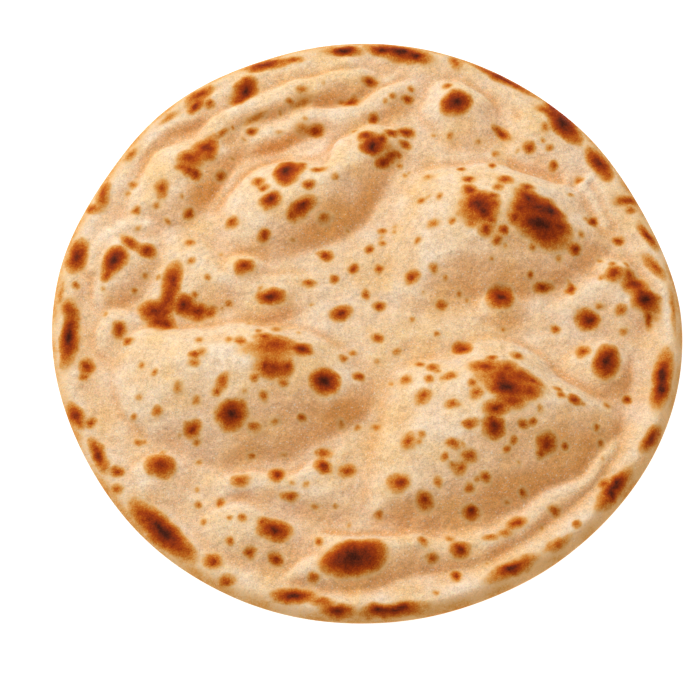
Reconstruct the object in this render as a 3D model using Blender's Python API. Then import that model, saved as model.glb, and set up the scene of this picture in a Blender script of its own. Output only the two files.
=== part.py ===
"""Chapati: a round flatbread, puffed into blisters, with a thicker ring of dough at its edge.

Metres, +Z up. The origin is the middle of the flat underside. The bread is one solid.
"""

import math
from typing import NamedTuple

import bmesh
import bpy
import numpy as np

# ---- Driving dimensions ----

RADIUS = 0.0995
SHEET = 0.0032  # thickness of the dough between the blisters
EDGE_HEIGHT = 0.0026  # height at which the bread is widest
EDGE_ROUND = 0.0036  # how far in from the edge the top begins to turn down
UNDER_ROUND = 0.006  # how far in from the edge the flat underside begins
RIM_CREST = 0.0042  # how far in from the edge the raised ring is highest
RIM_INNER = 0.0056  # how far in from its highest line the ring dies away
RIM_CALM = 0.006  # inside the edge, the width over which the blisters die away
RIM_MARGIN = 0.001  # width beside the edge that no blister reaches
BLEND = 0.0011  # how softly two raised shapes run into each other
PUFF_FOOT = 0.05  # how softly a large blister leaves the sheet, as a share of its height
FOOT = 0.16  # how softly a blister leaves the sheet, as a share of its height

# Where the outline swells (or draws in): bearing, half its width in degrees, height
OUTLINE_SWELLS = (
    (-152, 28, -0.0010),
    (-105, 25, 0.0004),
    (-68, 15, -0.0003),
    (-10, 45, 0.0016),
    (22, 24, -0.0014),
    (88, 50, 0.0024),
    (128, 22, 0.0012),
    (152, 20, -0.0008),
)

# Height of the raised ring at angles round the bread, in degrees
RIM_HEIGHTS = (
    (-180, 0.0016),
    (-150, 0.0016),
    (-120, 0.0022),
    (-90, 0.0030),
    (-60, 0.0038),
    (-30, 0.0038),
    (-5, 0.0030),
    (20, 0.0020),
    (60, 0.0018),
    (100, 0.0020),
    (140, 0.0018),
    (180, 0.0016),
)

# Uneven lie of the dough: size of the lumps, height
LUMPS = ((0.026, 0.00055), (0.013, 0.00050), (0.0065, 0.00028))
# Wander of the blisters' edges: size of the waves, distance
WANDER = ((0.024, 0.0022), (0.010, 0.0009))

RINGS = 33  # rows of triangles from the middle to the edge
UNDER_STEPS = 3  # rows of faces from the widest line to the underside
ROUTE_STEPS = 4  # straight pieces between two points of a fold or crease
LATTICE = 64  # size of the noise table

COLOR = (0.83, 0.64, 0.40, 1.0)
ROUGHNESS = 0.72


class Blister(NamedTuple):
    """A raised oval of dough. Its top leans off its middle by lean_x and lean_y."""

    x: float
    y: float
    half_length: float
    half_width: float
    turn: float
    height: float
    lean_x: float = 0.0
    lean_y: float = 0.0


class Puff(NamedTuple):
    """A large blister: its top, its height, how domed it is (2) or pointed (1), and its outline."""

    x: float
    y: float
    height: float
    dome: float
    outline: tuple


class Fold(NamedTuple):
    """A long ridge, or with a negative height a crease, along a route of points."""

    route: tuple
    half_width: float
    height: float


PUFFS = (
    # south-east blister
    Puff(
        0.041,
        -0.032,
        0.0152,
        1.9,
        (
            (0.000, -0.040), (0.002, -0.027), (0.008, -0.018), (0.018, -0.012), (0.030, -0.008),
            (0.042, -0.007), (0.054, -0.012), (0.065, -0.021), (0.076, -0.030), (0.081, -0.036),
            (0.078, -0.043), (0.070, -0.051), (0.060, -0.058), (0.048, -0.065), (0.038, -0.069),
            (0.026, -0.071), (0.012, -0.0705), (0.004, -0.069), (-0.001, -0.062), (-0.002, -0.050),
        ),
    ),
    # south-west blister
    Puff(
        -0.034,
        -0.021,
        0.0132,
        1.95,
        (
            (-0.080, -0.010), (-0.080, -0.022), (-0.077, -0.032), (-0.070, -0.0395),
            (-0.060, -0.046), (-0.050, -0.0498), (-0.035, -0.051), (-0.022, -0.050),
            (-0.016, -0.045), (-0.008, -0.0415), (0.000, -0.036), (0.005, -0.028), (0.004, -0.018),
            (-0.004, -0.010), (-0.016, -0.005), (-0.032, -0.002), (-0.050, -0.002),
            (-0.066, -0.003), (-0.076, -0.005),
        ),
    ),
    # north-east blister
    Puff(
        0.044,
        0.033,
        0.0132,
        1.9,
        (
            (0.005, 0.012), (0.002, 0.022), (0.004, 0.033), (0.008, 0.044), (0.014, 0.052),
            (0.024, 0.056), (0.034, 0.056), (0.046, 0.055), (0.058, 0.053), (0.068, 0.048),
            (0.075, 0.039), (0.080, 0.028), (0.077, 0.020), (0.070, 0.014), (0.062, 0.009),
            (0.052, 0.006), (0.042, 0.004), (0.032, 0.002), (0.022, 0.001), (0.012, 0.004),
        ),
    ),
    # north-west middle blister
    Puff(
        -0.017,
        0.041,
        0.0108,
        1.9,
        (
            (-0.049, 0.032), (-0.049, 0.040), (-0.044, 0.048), (-0.036, 0.054), (-0.027, 0.057),
            (-0.018, 0.0575), (-0.012, 0.061), (-0.007, 0.067), (0.002, 0.069), (0.012, 0.0695),
            (0.017, 0.066), (0.014, 0.058), (0.011, 0.050), (0.008, 0.041), (0.002, 0.033),
            (-0.007, 0.026), (-0.016, 0.021), (-0.027, 0.019), (-0.038, 0.0205), (-0.046, 0.025),
        ),
    ),
    # north-west pillow
    Puff(
        -0.059,
        0.050,
        0.0062,
        1.8,
        (
            (-0.079, 0.034), (-0.078, 0.046), (-0.073, 0.056), (-0.064, 0.0635), (-0.053, 0.068),
            (-0.044, 0.069), (-0.038, 0.064), (-0.041, 0.056), (-0.046, 0.048), (-0.050, 0.040),
            (-0.056, 0.0315), (-0.066, 0.0305),
        ),
    ),
    # north dome
    Puff(
        0.030,
        0.077,
        0.0052,
        1.9,
        (
            (0.020, 0.072), (0.021, 0.082), (0.026, 0.088), (0.034, 0.088), (0.040, 0.084),
            (0.044, 0.077), (0.045, 0.069), (0.041, 0.061), (0.033, 0.059), (0.025, 0.062),
        ),
    ),
    # north-east pillow
    Puff(
        0.060,
        0.068,
        0.0032,
        1.9,
        (
            (0.048, 0.084), (0.056, 0.083), (0.065, 0.075), (0.072, 0.066), (0.076, 0.056),
            (0.074, 0.049), (0.066, 0.048), (0.056, 0.053), (0.047, 0.056), (0.045, 0.066),
            (0.048, 0.076),
        ),
    ),
    # west dome
    Puff(
        -0.080,
        0.019,
        0.0054,
        1.8,
        (
            (-0.089, 0.009), (-0.090, 0.018), (-0.086, 0.027), (-0.078, 0.0315), (-0.069, 0.030),
            (-0.063, 0.024), (-0.065, 0.015), (-0.071, 0.008), (-0.079, 0.003), (-0.086, 0.003),
        ),
    ),
    # west pillow
    Puff(
        -0.052,
        0.013,
        0.0052,
        1.7,
        (
            (-0.069, 0.024), (-0.062, 0.029), (-0.052, 0.028), (-0.044, 0.023), (-0.035, 0.020),
            (-0.026, 0.018), (-0.014, 0.016), (-0.004, 0.014), (0.000, 0.007), (-0.008, 0.000),
            (-0.020, -0.002), (-0.035, -0.002), (-0.048, -0.004), (-0.060, -0.006),
            (-0.070, -0.004), (-0.073, 0.006), (-0.071, 0.016),
        ),
    ),
    # west edge dome
    Puff(
        -0.079,
        -0.002,
        0.0028,
        1.9,
        (
            (-0.085, -0.012), (-0.086, -0.002), (-0.081, 0.004), (-0.073, 0.003), (-0.069, -0.005),
            (-0.072, -0.012), (-0.079, -0.016),
        ),
    ),
    # middle dome
    Puff(
        0.042,
        0.004,
        0.005,
        1.9,
        (
            (0.034, -0.001), (0.035, 0.007), (0.041, 0.012), (0.049, 0.010), (0.053, 0.003),
            (0.051, -0.005), (0.045, -0.008), (0.038, -0.006),
        ),
    ),
    # middle swell
    Puff(
        0.014,
        -0.006,
        0.0032,
        1.8,
        (
            (-0.003, -0.003), (0.004, 0.006), (0.014, 0.008), (0.026, 0.006), (0.038, 0.002),
            (0.044, -0.004), (0.036, -0.010), (0.024, -0.012), (0.012, -0.017), (0.003, -0.022),
            (-0.004, -0.014),
        ),
    ),
    # east pillow
    Puff(
        0.080,
        0.012,
        0.0036,
        1.8,
        (
            (0.048, -0.002), (0.055, 0.004), (0.066, 0.011), (0.077, 0.0195), (0.086, 0.021),
            (0.092, 0.012), (0.093, 0.002), (0.090, -0.006), (0.084, -0.009), (0.075, -0.007),
            (0.064, -0.007), (0.055, -0.006),
        ),
    ),
    # east dome
    Puff(
        0.073,
        -0.016,
        0.0046,
        1.8,
        (
            (0.062, -0.020), (0.064, -0.012), (0.071, -0.007), (0.080, -0.008), (0.084, -0.016),
            (0.083, -0.024), (0.076, -0.029), (0.068, -0.027),
        ),
    ),
    # south pillow
    Puff(
        -0.022,
        -0.056,
        0.0042,
        1.7,
        (
            (-0.054, -0.056), (-0.050, -0.052), (-0.040, -0.052), (-0.028, -0.0515),
            (-0.020, -0.050), (-0.015, -0.0455), (-0.007, -0.0425), (0.001, -0.040),
            (0.001, -0.050), (0.002, -0.060), (0.001, -0.067), (-0.010, -0.069), (-0.021, -0.067),
            (-0.030, -0.063), (-0.042, -0.061), (-0.050, -0.060),
        ),
    ),
    # south blister
    Puff(
        -0.005,
        -0.079,
        0.0062,
        1.8,
        (
            (-0.025, -0.086), (-0.019, -0.079), (-0.017, -0.072), (-0.008, -0.0715),
            (0.005, -0.0725), (0.020, -0.0725), (0.031, -0.073), (0.037, -0.076), (0.028, -0.081),
            (0.018, -0.085), (0.005, -0.0895), (-0.008, -0.091), (-0.018, -0.090),
        ),
    ),
    # south-west lower dome
    Puff(
        -0.036,
        -0.070,
        0.0042,
        1.8,
        (
            (-0.052, -0.067), (-0.045, -0.061), (-0.035, -0.062), (-0.026, -0.066),
            (-0.019, -0.071), (-0.020, -0.079), (-0.028, -0.084), (-0.040, -0.082),
            (-0.049, -0.076),
        ),
    ),
    # south-west low dome
    Puff(
        -0.063,
        -0.052,
        0.003,
        1.9,
        (
            (-0.073, -0.052), (-0.066, -0.046), (-0.057, -0.048), (-0.052, -0.054),
            (-0.057, -0.062), (-0.066, -0.063), (-0.072, -0.059),
        ),
    ),
)

BLISTERS = (
    # the whole bread swells a little towards its middle
    Blister(0.004, -0.004, 0.090, 0.084, 0, 0.0024),
    # shoulders of the large blisters
    Blister(0.020, -0.055, 0.022, 0.016, 25, 0.0092, -0.002, 0.0),
    Blister(-0.012, -0.027, 0.016, 0.013, 20, 0.0090),
    Blister(-0.041, -0.037, 0.022, 0.011, 0, 0.0072),
    Blister(0.001, 0.060, 0.012, 0.010, 40, 0.0066),
    # low swells between them
    Blister(0.024, 0.012, 0.024, 0.014, 10, 0.0052),
    Blister(-0.030, 0.006, 0.016, 0.011, 0, 0.0056),
    Blister(-0.038, 0.016, 0.010, 0.008, 0, 0.0058),
    Blister(0.088, 0.005, 0.009, 0.009, 0, 0.0042),
    Blister(0.080, 0.014, 0.009, 0.008, 0, 0.0042),
)

RIDGES = (
    # long roll from the north-west round to the north
    Fold(
        (
            (-0.058, 0.062),
            (-0.046, 0.069),
            (-0.034, 0.076),
            (-0.020, 0.082),
            (-0.006, 0.087),
            (0.008, 0.092),
        ),
        0.0085,
        0.0044,
    ),
    # second roll below it
    Fold(
        (
            (-0.042, 0.061),
            (-0.030, 0.066),
            (-0.016, 0.070),
            (-0.004, 0.073),
            (0.008, 0.080),
            (0.020, 0.089),
        ),
        0.0062,
        0.0034,
    ),
    # pillow between the long roll and the north-west edge
    Fold(
        (
            (-0.080, 0.048),
            (-0.072, 0.061),
            (-0.058, 0.074),
            (-0.040, 0.085),
            (-0.020, 0.092),
            (0.002, 0.096),
        ),
        0.0062,
        0.0028,
    ),
    # beside the east and west edges
    Fold(((0.084, 0.031), (0.078, 0.042), (0.070, 0.051)), 0.005, 0.0025),
    Fold(((-0.089, 0.012), (-0.086, 0.024), (-0.076, 0.031), (-0.064, 0.029)), 0.005, 0.0025),
    # pillow below the south-east blister
    Fold(
        (
            (0.006, -0.076),
            (0.020, -0.0775),
            (0.034, -0.0755),
            (0.046, -0.071),
            (0.058, -0.0635),
            (0.069, -0.0555),
            (0.078, -0.045),
            (0.084, -0.034),
        ),
        0.0050,
        0.0032,
    ),
)

CREASES = (
    # inside the north-west edge
    Fold(
        (
            (-0.084, 0.036),
            (-0.076, 0.049),
            (-0.064, 0.063),
            (-0.050, 0.0725),
            (-0.036, 0.080),
            (-0.020, 0.0865),
            (-0.004, 0.0905),
            (0.010, 0.094),
        ),
        0.0018,
        -0.0016,
    ),
    # between the two rolls
    Fold(
        (
            (-0.046, 0.065),
            (-0.034, 0.071),
            (-0.022, 0.0755),
            (-0.010, 0.078),
            (0.0, 0.080),
            (0.010, 0.086),
            (0.019, 0.092),
        ),
        0.0018,
        -0.0016,
    ),
    # above the blister between the north and the middle
    Fold(
        (
            (-0.052, 0.033),
            (-0.047, 0.044),
            (-0.038, 0.054),
            (-0.027, 0.060),
            (-0.018, 0.064),
            (-0.009, 0.069),
        ),
        0.0030,
        -0.0022,
    ),
    # short creases north-east
    Fold(((0.034, 0.087), (0.046, 0.078), (0.054, 0.070)), 0.0020, -0.0012),
    Fold(((0.046, 0.056), (0.056, 0.053), (0.066, 0.050)), 0.0020, -0.0012),
    Fold(((0.072, 0.050), (0.080, 0.038), (0.084, 0.030)), 0.0020, -0.0014),
    # inside the west edge
    Fold(
        (
            (-0.090, 0.014),
            (-0.091, 0.0),
            (-0.088, -0.010),
            (-0.083, -0.022),
            (-0.078, -0.033),
            (-0.066, -0.042),
        ),
        0.0024,
        -0.0015,
    ),
    # inside the raised ring from the east round to the south
    Fold(
        (
            (0.094, -0.007),
            (0.087, -0.014),
            (0.084, -0.026),
            (0.083, -0.038),
            (0.079, -0.048),
            (0.069, -0.060),
            (0.060, -0.069),
            (0.050, -0.0755),
            (0.040, -0.0795),
            (0.028, -0.085),
            (0.010, -0.0895),
            (-0.010, -0.0925),
        ),
        0.0024,
        -0.0020,
    ),
)


# ---- Shapes ----


def noise(x, y, size, seed):
    """Smooth unevenness between about -1 and 1, whose lumps are about size across."""
    angle = np.random.default_rng(seed).uniform(0, 2 * math.pi, (LATTICE, LATTICE))
    u = x / size
    v = y / size
    column = np.floor(u).astype(int)
    row = np.floor(v).astype(int)
    u = u - column
    v = v - row

    def corner(right, up):
        slope = angle[(column + right) % LATTICE, (row + up) % LATTICE]
        return np.cos(slope) * (u - right) + np.sin(slope) * (v - up)

    across = u * u * u * (u * (u * 6 - 15) + 10)
    along = v * v * v * (v * (v * 6 - 15) + 10)
    low = corner(0, 0) * (1 - across) + corner(1, 0) * across
    high = corner(0, 1) * (1 - across) + corner(1, 1) * across
    return 1.5 * (low * (1 - along) + high * along)


def higher_of(a, b, blend):
    """The larger of two heights, rounded over where both are raised and nearly equal."""
    near = np.clip(1 - np.abs(a - b) / blend, 0, 1)
    raised = np.clip(np.minimum(a, b) / blend, 0, 1)
    return np.maximum(a, b) + near * near * raised * blend / 4


def blister_height(x, y, blister):
    """Height of one blister above the sheet: a rounded oval hill with a soft foot."""
    turn = math.radians(blister.turn)
    cos, sin = math.cos(turn), math.sin(turn)
    length, width = blister.half_length, blister.half_width
    lean_u = (blister.lean_x * cos + blister.lean_y * sin) / length
    lean_v = (blister.lean_y * cos - blister.lean_x * sin) / width
    from_x = x - blister.x
    from_y = y - blister.y
    u = (from_x * cos + from_y * sin) / length - lean_u
    v = (from_y * cos - from_x * sin) / width - lean_v
    # ovals that shrink from the outline towards the leaning top: reach is each point's own oval
    lean = lean_u * lean_u + lean_v * lean_v
    along = u * lean_u + v * lean_v
    reach = (along + np.sqrt(along * along + (1 - lean) * (u * u + v * v))) / (1 - lean)
    rise = 1 - reach * reach
    return blister.height * 0.5 * (rise + np.sqrt(rise * rise + FOOT * FOOT))


def puff_height(x, y, puff):
    """Height of a large blister above the sheet: a dome that falls to its own outline."""
    points = list(puff.outline)
    curve = smooth_route(points[-2:] + points + points[:2])
    curve = np.array(curve[2 * ROUTE_STEPS : -ROUTE_STEPS - 1]) - (puff.x, puff.y)
    curve_angles = np.arctan2(curve[:, 1], curve[:, 0])
    curve_reach = np.hypot(curve[:, 0], curve[:, 1])
    from_x = x - puff.x
    from_y = y - puff.y
    angle = np.arctan2(from_y, from_x)
    edge_reach = np.interp(angle, curve_angles, curve_reach, period=2 * math.pi)
    rise = 1 - (np.hypot(from_x, from_y) / edge_reach) ** puff.dome
    return puff.height * 0.5 * (rise + np.sqrt(rise * rise + PUFF_FOOT * PUFF_FOOT))


def smooth_route(points):
    """Points on a smooth curve through the route's own points."""
    points = np.array(points)
    before = 2 * points[0] - points[1]
    after = 2 * points[-1] - points[-2]
    points = np.vstack([before, points, after])
    curve = []
    for a, b, c, d in zip(points, points[1:], points[2:], points[3:]):
        for step in range(ROUTE_STEPS):
            t = step / ROUTE_STEPS
            bend = (2 * a - 5 * b + 4 * c - d) * t * t + (3 * b - a - 3 * c + d) * t * t * t
            curve.append(0.5 * (2 * b + (c - a) * t + bend))
    curve.append(points[-2])
    return curve


def route_distance(x, y, route):
    """Distance from a route, and the share of the route passed at its nearest point."""
    curve = smooth_route(route)
    nearest = np.full(np.shape(x), np.inf)
    passed = np.zeros(np.shape(x))
    for index, (start, end) in enumerate(zip(curve, curve[1:])):
        step_x, step_y = end - start
        along = ((x - start[0]) * step_x + (y - start[1]) * step_y) / (step_x**2 + step_y**2)
        along = np.clip(along, 0, 1)
        distance = np.hypot(x - start[0] - along * step_x, y - start[1] - along * step_y)
        passed = np.where(distance < nearest, (index + along) / (len(curve) - 1), passed)
        nearest = np.minimum(nearest, distance)
    return nearest, passed


def fold_height(x, y, fold, power):
    """Height of a ridge or a crease, rounded across and tapered at both its ends."""
    distance, passed = route_distance(x, y, fold.route)
    taper = np.clip(np.minimum(passed, 1 - passed) / 0.18, 0, 1)
    taper = taper * taper * (3 - 2 * taper)
    return fold.height * taper * np.exp(-((distance / fold.half_width) ** power))


def outline(angle):
    """Radius of the bread at an angle."""
    radius = RADIUS
    for bearing, width, height in OUTLINE_SWELLS:
        apart = np.degrees(angle) - bearing
        apart = np.abs((apart + 180) % 360 - 180) / width
        swell = np.cos(math.pi / 2 * np.minimum(apart, 1)) ** 2
        radius = radius + height * swell
    return radius


def blister_field(x, y):
    """Height of all the blisters and folds above the sheet."""
    for index, (size, distance) in enumerate(WANDER):
        shift_x = distance * noise(x, y, size, 4 + index)
        shift_y = distance * noise(x, y, size, 6 + index)
        x = x + shift_x
        y = y + shift_y
    height = np.zeros(np.shape(x))
    for puff in PUFFS:
        height = higher_of(height, puff_height(x, y, puff), BLEND)
    for blister in BLISTERS:
        height = higher_of(height, blister_height(x, y, blister), BLEND)
    for ridge in RIDGES:
        height = higher_of(height, fold_height(x, y, ridge, 2.4), BLEND)
    for crease in CREASES:
        height = height + fold_height(x, y, crease, 1.6)
    return height


def rim_height(inset, angle):
    """Height of the raised ring above the sheet, inset from the edge."""
    angles, heights = zip(*RIM_HEIGHTS)
    crest = np.interp(np.degrees(angle), angles, heights)
    width = np.where(inset < RIM_CREST, RIM_CREST, RIM_INNER)
    off_crest = (inset - RIM_CREST) / width
    return crest * np.exp(-0.9 * off_crest * off_crest)


def top_height(x, y):
    """Height of the bread's top, before its edge is rounded."""
    angle = np.arctan2(y, x)
    inset = outline(angle) - np.hypot(x, y)
    calm = np.clip((inset - RIM_MARGIN) / RIM_CALM, 0, 1)
    calm = calm * calm * (3 - 2 * calm)
    uneven = 0.0
    for index, (size, height) in enumerate(LUMPS):
        uneven = uneven + height * noise(x, y, size, 1 + index)
    raised = higher_of(blister_field(x, y) * calm, rim_height(inset, angle), BLEND)
    return SHEET + uneven * (0.3 + 0.7 * calm) + raised


# ---- The bread ----


def disc_of_triangles(mesh):
    """A flat hexagon of six fans, each divided into even triangles."""
    bmesh.ops.create_circle(mesh, cap_ends=True, cap_tris=True, segments=6, radius=1.0)
    bmesh.ops.subdivide_edges(mesh, edges=mesh.edges[:], cuts=RINGS - 1, use_grid_fill=True)


def ring_share(x, y):
    """How far out a point of the unit hexagon lies: 0 at its middle, 1 on its sides."""
    share = 0.0
    for side in range(3):
        turn = math.radians(60 * side)
        share = np.maximum(share, np.abs(x * math.cos(turn) + y * math.sin(turn)))
    return share / math.cos(math.radians(30))


def shape_top(mesh):
    """Turns the hexagon into the bread's rounded top."""
    points = np.array([vertex.co for vertex in mesh.verts])
    share = ring_share(points[:, 0], points[:, 1])
    angle = np.arctan2(points[:, 1], points[:, 0])
    level = RADIUS - EDGE_ROUND
    walked = share * (level + EDGE_ROUND * math.pi / 2)
    turned = np.maximum(walked - level, 0) / EDGE_ROUND
    radius = np.minimum(walked, level) + EDGE_ROUND * np.sin(turned)
    radius = radius * outline(angle) / RADIUS
    x = radius * np.cos(angle)
    y = radius * np.sin(angle)
    z = EDGE_HEIGHT + (top_height(x, y) - EDGE_HEIGHT) * np.cos(turned)
    for vertex, place in zip(mesh.verts, zip(x, y, z)):
        vertex.co = place


def close_underside(mesh):
    """Turns the edge under in a quarter round and closes the flat underside."""
    rim = [edge for edge in mesh.edges if edge.is_boundary]
    for step in range(1, UNDER_STEPS + 1):
        made = bmesh.ops.extrude_edge_only(mesh, edges=rim)["geom"]
        rim = [item for item in made if isinstance(item, bmesh.types.BMEdge)]
        turned = math.pi / 2 * step / UNDER_STEPS
        for vertex in [item for item in made if isinstance(item, bmesh.types.BMVert)]:
            angle = math.atan2(vertex.co.y, vertex.co.x)
            radius = outline(angle) - UNDER_ROUND * (1 - math.cos(turned))
            vertex.co.x = radius * math.cos(angle)
            vertex.co.y = radius * math.sin(angle)
            vertex.co.z = EDGE_HEIGHT * (1 - math.sin(turned))
    rim = [edge for edge in mesh.edges if edge.is_boundary]
    bmesh.ops.edgeloop_fill(mesh, edges=rim)
    bmesh.ops.recalc_face_normals(mesh, faces=mesh.faces[:])


def centre_outline(mesh):
    """Puts the origin at the middle of the bread's own box."""
    across = [vertex.co.x for vertex in mesh.verts]
    along = [vertex.co.y for vertex in mesh.verts]
    middle = ((min(across) + max(across)) / 2, (min(along) + max(along)) / 2, 0)
    bmesh.ops.translate(mesh, verts=mesh.verts[:], vec=[-value for value in middle])


def dough_material():
    material = bpy.data.materials.new("baked dough")
    material.use_nodes = True
    shader = material.node_tree.nodes["Principled BSDF"]
    shader.inputs["Base Color"].default_value = COLOR
    shader.inputs["Roughness"].default_value = ROUGHNESS
    shader.inputs["Metallic"].default_value = 0.0
    return material


def make_chapati(collection):
    mesh = bmesh.new()
    disc_of_triangles(mesh)
    shape_top(mesh)
    close_underside(mesh)
    centre_outline(mesh)
    data = bpy.data.meshes.new("chapati")
    mesh.to_mesh(data)
    mesh.free()
    data.shade_smooth()
    data.materials.append(dough_material())
    chapati = bpy.data.objects.new("chapati", data)
    collection.objects.link(chapati)


def main():
    for item in list(bpy.data.objects):
        bpy.data.objects.remove(item, do_unlink=True)
    collection = bpy.data.collections.new("chapati flatbread")
    bpy.context.scene.collection.children.link(collection)
    make_chapati(collection)


main()
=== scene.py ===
"""Chapati flatbread: a round of dough puffed into blisters and toasted in spots, on a pale studio floor.

Metres, +Z up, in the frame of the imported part: the origin is the middle of the bread's underside.
"""

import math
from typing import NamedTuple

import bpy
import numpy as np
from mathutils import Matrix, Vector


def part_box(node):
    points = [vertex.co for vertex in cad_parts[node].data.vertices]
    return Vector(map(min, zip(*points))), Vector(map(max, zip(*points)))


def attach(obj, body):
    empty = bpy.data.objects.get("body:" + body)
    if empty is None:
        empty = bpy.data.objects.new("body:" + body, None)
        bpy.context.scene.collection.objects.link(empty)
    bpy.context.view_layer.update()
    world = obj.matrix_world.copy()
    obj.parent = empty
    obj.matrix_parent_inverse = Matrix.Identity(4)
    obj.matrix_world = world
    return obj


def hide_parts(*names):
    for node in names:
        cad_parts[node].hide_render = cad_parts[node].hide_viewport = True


bl_info = {
    "name": "Chapati Flatbread",
    "version": (1, 0, 0),
    "blender": (4, 5, 0),
    "location": "3D View > Sidebar > Chapati",
    "description": "Models a puffed and toasted chapati and the studio that it is shown in",
    "category": "Add Mesh",
}

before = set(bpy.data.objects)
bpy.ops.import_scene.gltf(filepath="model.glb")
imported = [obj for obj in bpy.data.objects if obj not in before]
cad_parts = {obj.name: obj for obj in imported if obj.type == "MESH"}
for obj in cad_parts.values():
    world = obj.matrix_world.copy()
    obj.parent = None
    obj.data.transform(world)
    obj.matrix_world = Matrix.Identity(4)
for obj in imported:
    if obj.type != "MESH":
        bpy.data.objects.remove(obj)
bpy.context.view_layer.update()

NODE = "chapati"
BODY = "root"

MM = 0.001

# ---- The bread's relief, the same as the solid's ----

# Where the outline swells (or draws in): bearing, half its width in degrees, height
OUTLINE_SWELLS = (
    (-152, 28, -0.0010),
    (-105, 25, 0.0004),
    (-68, 15, -0.0003),
    (-10, 45, 0.0016),
    (22, 24, -0.0014),
    (88, 50, 0.0024),
    (128, 22, 0.0012),
    (152, 20, -0.0008),
)

# Height of the raised ring at angles round the bread, in degrees
RIM_HEIGHTS = (
    (-180, 0.0016), (-150, 0.0016), (-120, 0.0022), (-90, 0.0030), (-60, 0.0038), (-30, 0.0038),
    (-5, 0.0030), (20, 0.0020), (60, 0.0018), (100, 0.0020), (140, 0.0018), (180, 0.0016),
)

# Uneven lie of the dough: size of the lumps, height
LUMPS = ((0.026, 0.00055), (0.013, 0.00050), (0.0065, 0.00028))
# Finer lumps of the skin, on top of those of the solid
SKIN_LUMPS = ((0.0042, 0.00018), (0.0024, 0.00010))
# Wander of the blisters' edges: size of the waves, distance
WANDER = ((0.024, 0.0022), (0.010, 0.0009))
# Seeds of the unevenness: the dough's, the blister edges' in x and in y
LUMP_SEED = 1
WANDER_SEEDS = (4, 6)

RADIUS = 0.0995
SHEET = 0.0032  # thickness of the dough between the blisters
EDGE_HEIGHT = 0.0026  # height at which the bread is widest
EDGE_ROUND = 0.0036  # how far in from the edge the top begins to turn down
UNDER_ROUND = 0.006  # how far in from the edge the underside begins
RIM_CREST = 0.0042  # how far in from the edge the raised ring is highest
RIM_INNER = 0.0056  # how far in from its highest line the ring dies away
RIM_CALM = 0.006  # inside the edge, the width over which the blisters die away
RIM_MARGIN = 0.001  # width beside the edge that no blister reaches
BLEND = 0.0011  # how softly two raised shapes run into each other
PUFF_FOOT = 0.05  # how softly a large blister leaves the sheet, as a share of its height
FOOT = 0.16  # how softly a small blister leaves the sheet, as a share of its height
RIM_SHARPNESS = 0.9  # how steeply the raised ring falls off beside its highest line
EDGE_UNEVEN = 0.3  # share of the dough's unevenness that is left at the edge
RIDGE_POWER = 2.4  # how flat a ridge is on top
CREASE_POWER = 1.6
FOLD_TAPER = 0.18  # share of a fold's length over which each of its ends dies away
ROUTE_STEPS = 4  # straight pieces between two points of a fold or crease
LATTICE = 64  # size of the noise table
NOISE_GAIN = 1.5  # brings the noise to between about -1 and 1

# ---- What only the finished bread has ----

TOP_CUTS = (19, 8)  # rows of triangles from the middle to the edge: their product
UNDER_CUTS = (19, 4)
SKIN_SEED = 31
UNDER_SEED = 71
UNDER_STRIP = 0.002  # width of the flat strip between the turned edge and the underside
UNDER_STEPS = 6  # rows of faces from the widest line to the underside
UNDER_LUMPS = ((0.030, 0.0007), (0.012, 0.0004), (0.005, 0.0002))
UNDER_CALM = 0.10  # share of the underside's radius over which it comes down to rest
# Small blisters of the skin: how many, smallest and largest radius, height
BUBBLES = ((110, 0.0018, 0.0036, 0.00050), (260, 0.0008, 0.0018, 0.00022))
BUBBLE_SEED = 21
BUBBLE_RISE = (0.3, 1.0)  # least and most of a bubble's height that it reaches
BUBBLE_REACH = 0.94  # share of the bread's radius that they are scattered over
GRID_STEP = 0.001  # spacing of the grid on which hollows and slopes are measured
GRID_REACH = 1.06  # half width of the grid, as a share of the bread's radius
GRID_BLUR = 0.001
SLOPE_BLUR = 0.002
# The hollows measured here are darkened with painted shade, which stands in for the shade that gathers in
# creases
HOLLOW_REACH = 0.0032  # distance over which a hollow is compared with its surroundings
HOLLOW_FULL = 0.00042  # depth below its surroundings of a full hollow
# Flanks that face this side are darkened with painted shade
SHADED_SIDE = math.radians(140)  # compass turn from +Y of the side that faces away from the lamp
TOAST_RISE = 0.00025  # how much toasted skin stands up
# Wander of the toasts' edges: size of the waves, distance
TOAST_WANDER = ((0.0070, 0.0007), (0.0028, 0.0004))
TOAST_SEED = 50
TOAST_STRENGTH = 0.94  # darkness of every toast, as a share of its depth
SMALL_TOAST = 1.6  # toasts under this half length, in millimetres, come out darker
SMALL_TOAST_LIFT = 0.03  # how much darker
TOAST_HALO = 0.0013  # how far browning reaches outside a small toast
TOAST_HALO_GROWTH = 0.25  # how much farther it reaches, as a share of the toast's size
TOAST_CORE = 0.20  # how much darker a toast is at its very middle
TOAST_CORE_SIZE = 0.0009
EDGE_TOAST = 0.17  # browning of the very edge
EDGE_TOAST_WIDTH = 0.0030
EDGE_TOAST_SEED = 61
EDGE_TOAST_PATCH = 0.009  # size of the patches in the edge's browning
EDGE_TOAST_UNEVEN = 0.6
TOAST_WIDTH = 0.0035  # distance over which browning grows from its start to most of its depth
TOAST_STEEPNESS = 1.64
TOAST_MERGE = 3  # how sharply the darker of two toasts wins where they meet
UNDER_TOAST_SEED = 90
TOAST_GRAIN = 0.9  # how much the grain breaks up browning
SKIN_BUMP = 0.0007
# Scales of the dough's patterns, in waves to the metre
FINE_SCALE = 2300.0
GRAIN_SCALE = 620.0
MOTTLE_SCALE = 75.0
SPECK_SCALE = 1900.0
CRUMPLE_SCALE = 330.0
PORE_SCALE = 520.0
# Shares of the coarse and fine patterns in the grain, and of the fine one and the pits in the skin
GRAIN_SHARE = 0.45
FINE_SHARE = 0.55
FINE_HEIGHT = 0.30
PIT_HEIGHT = 0.12
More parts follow.
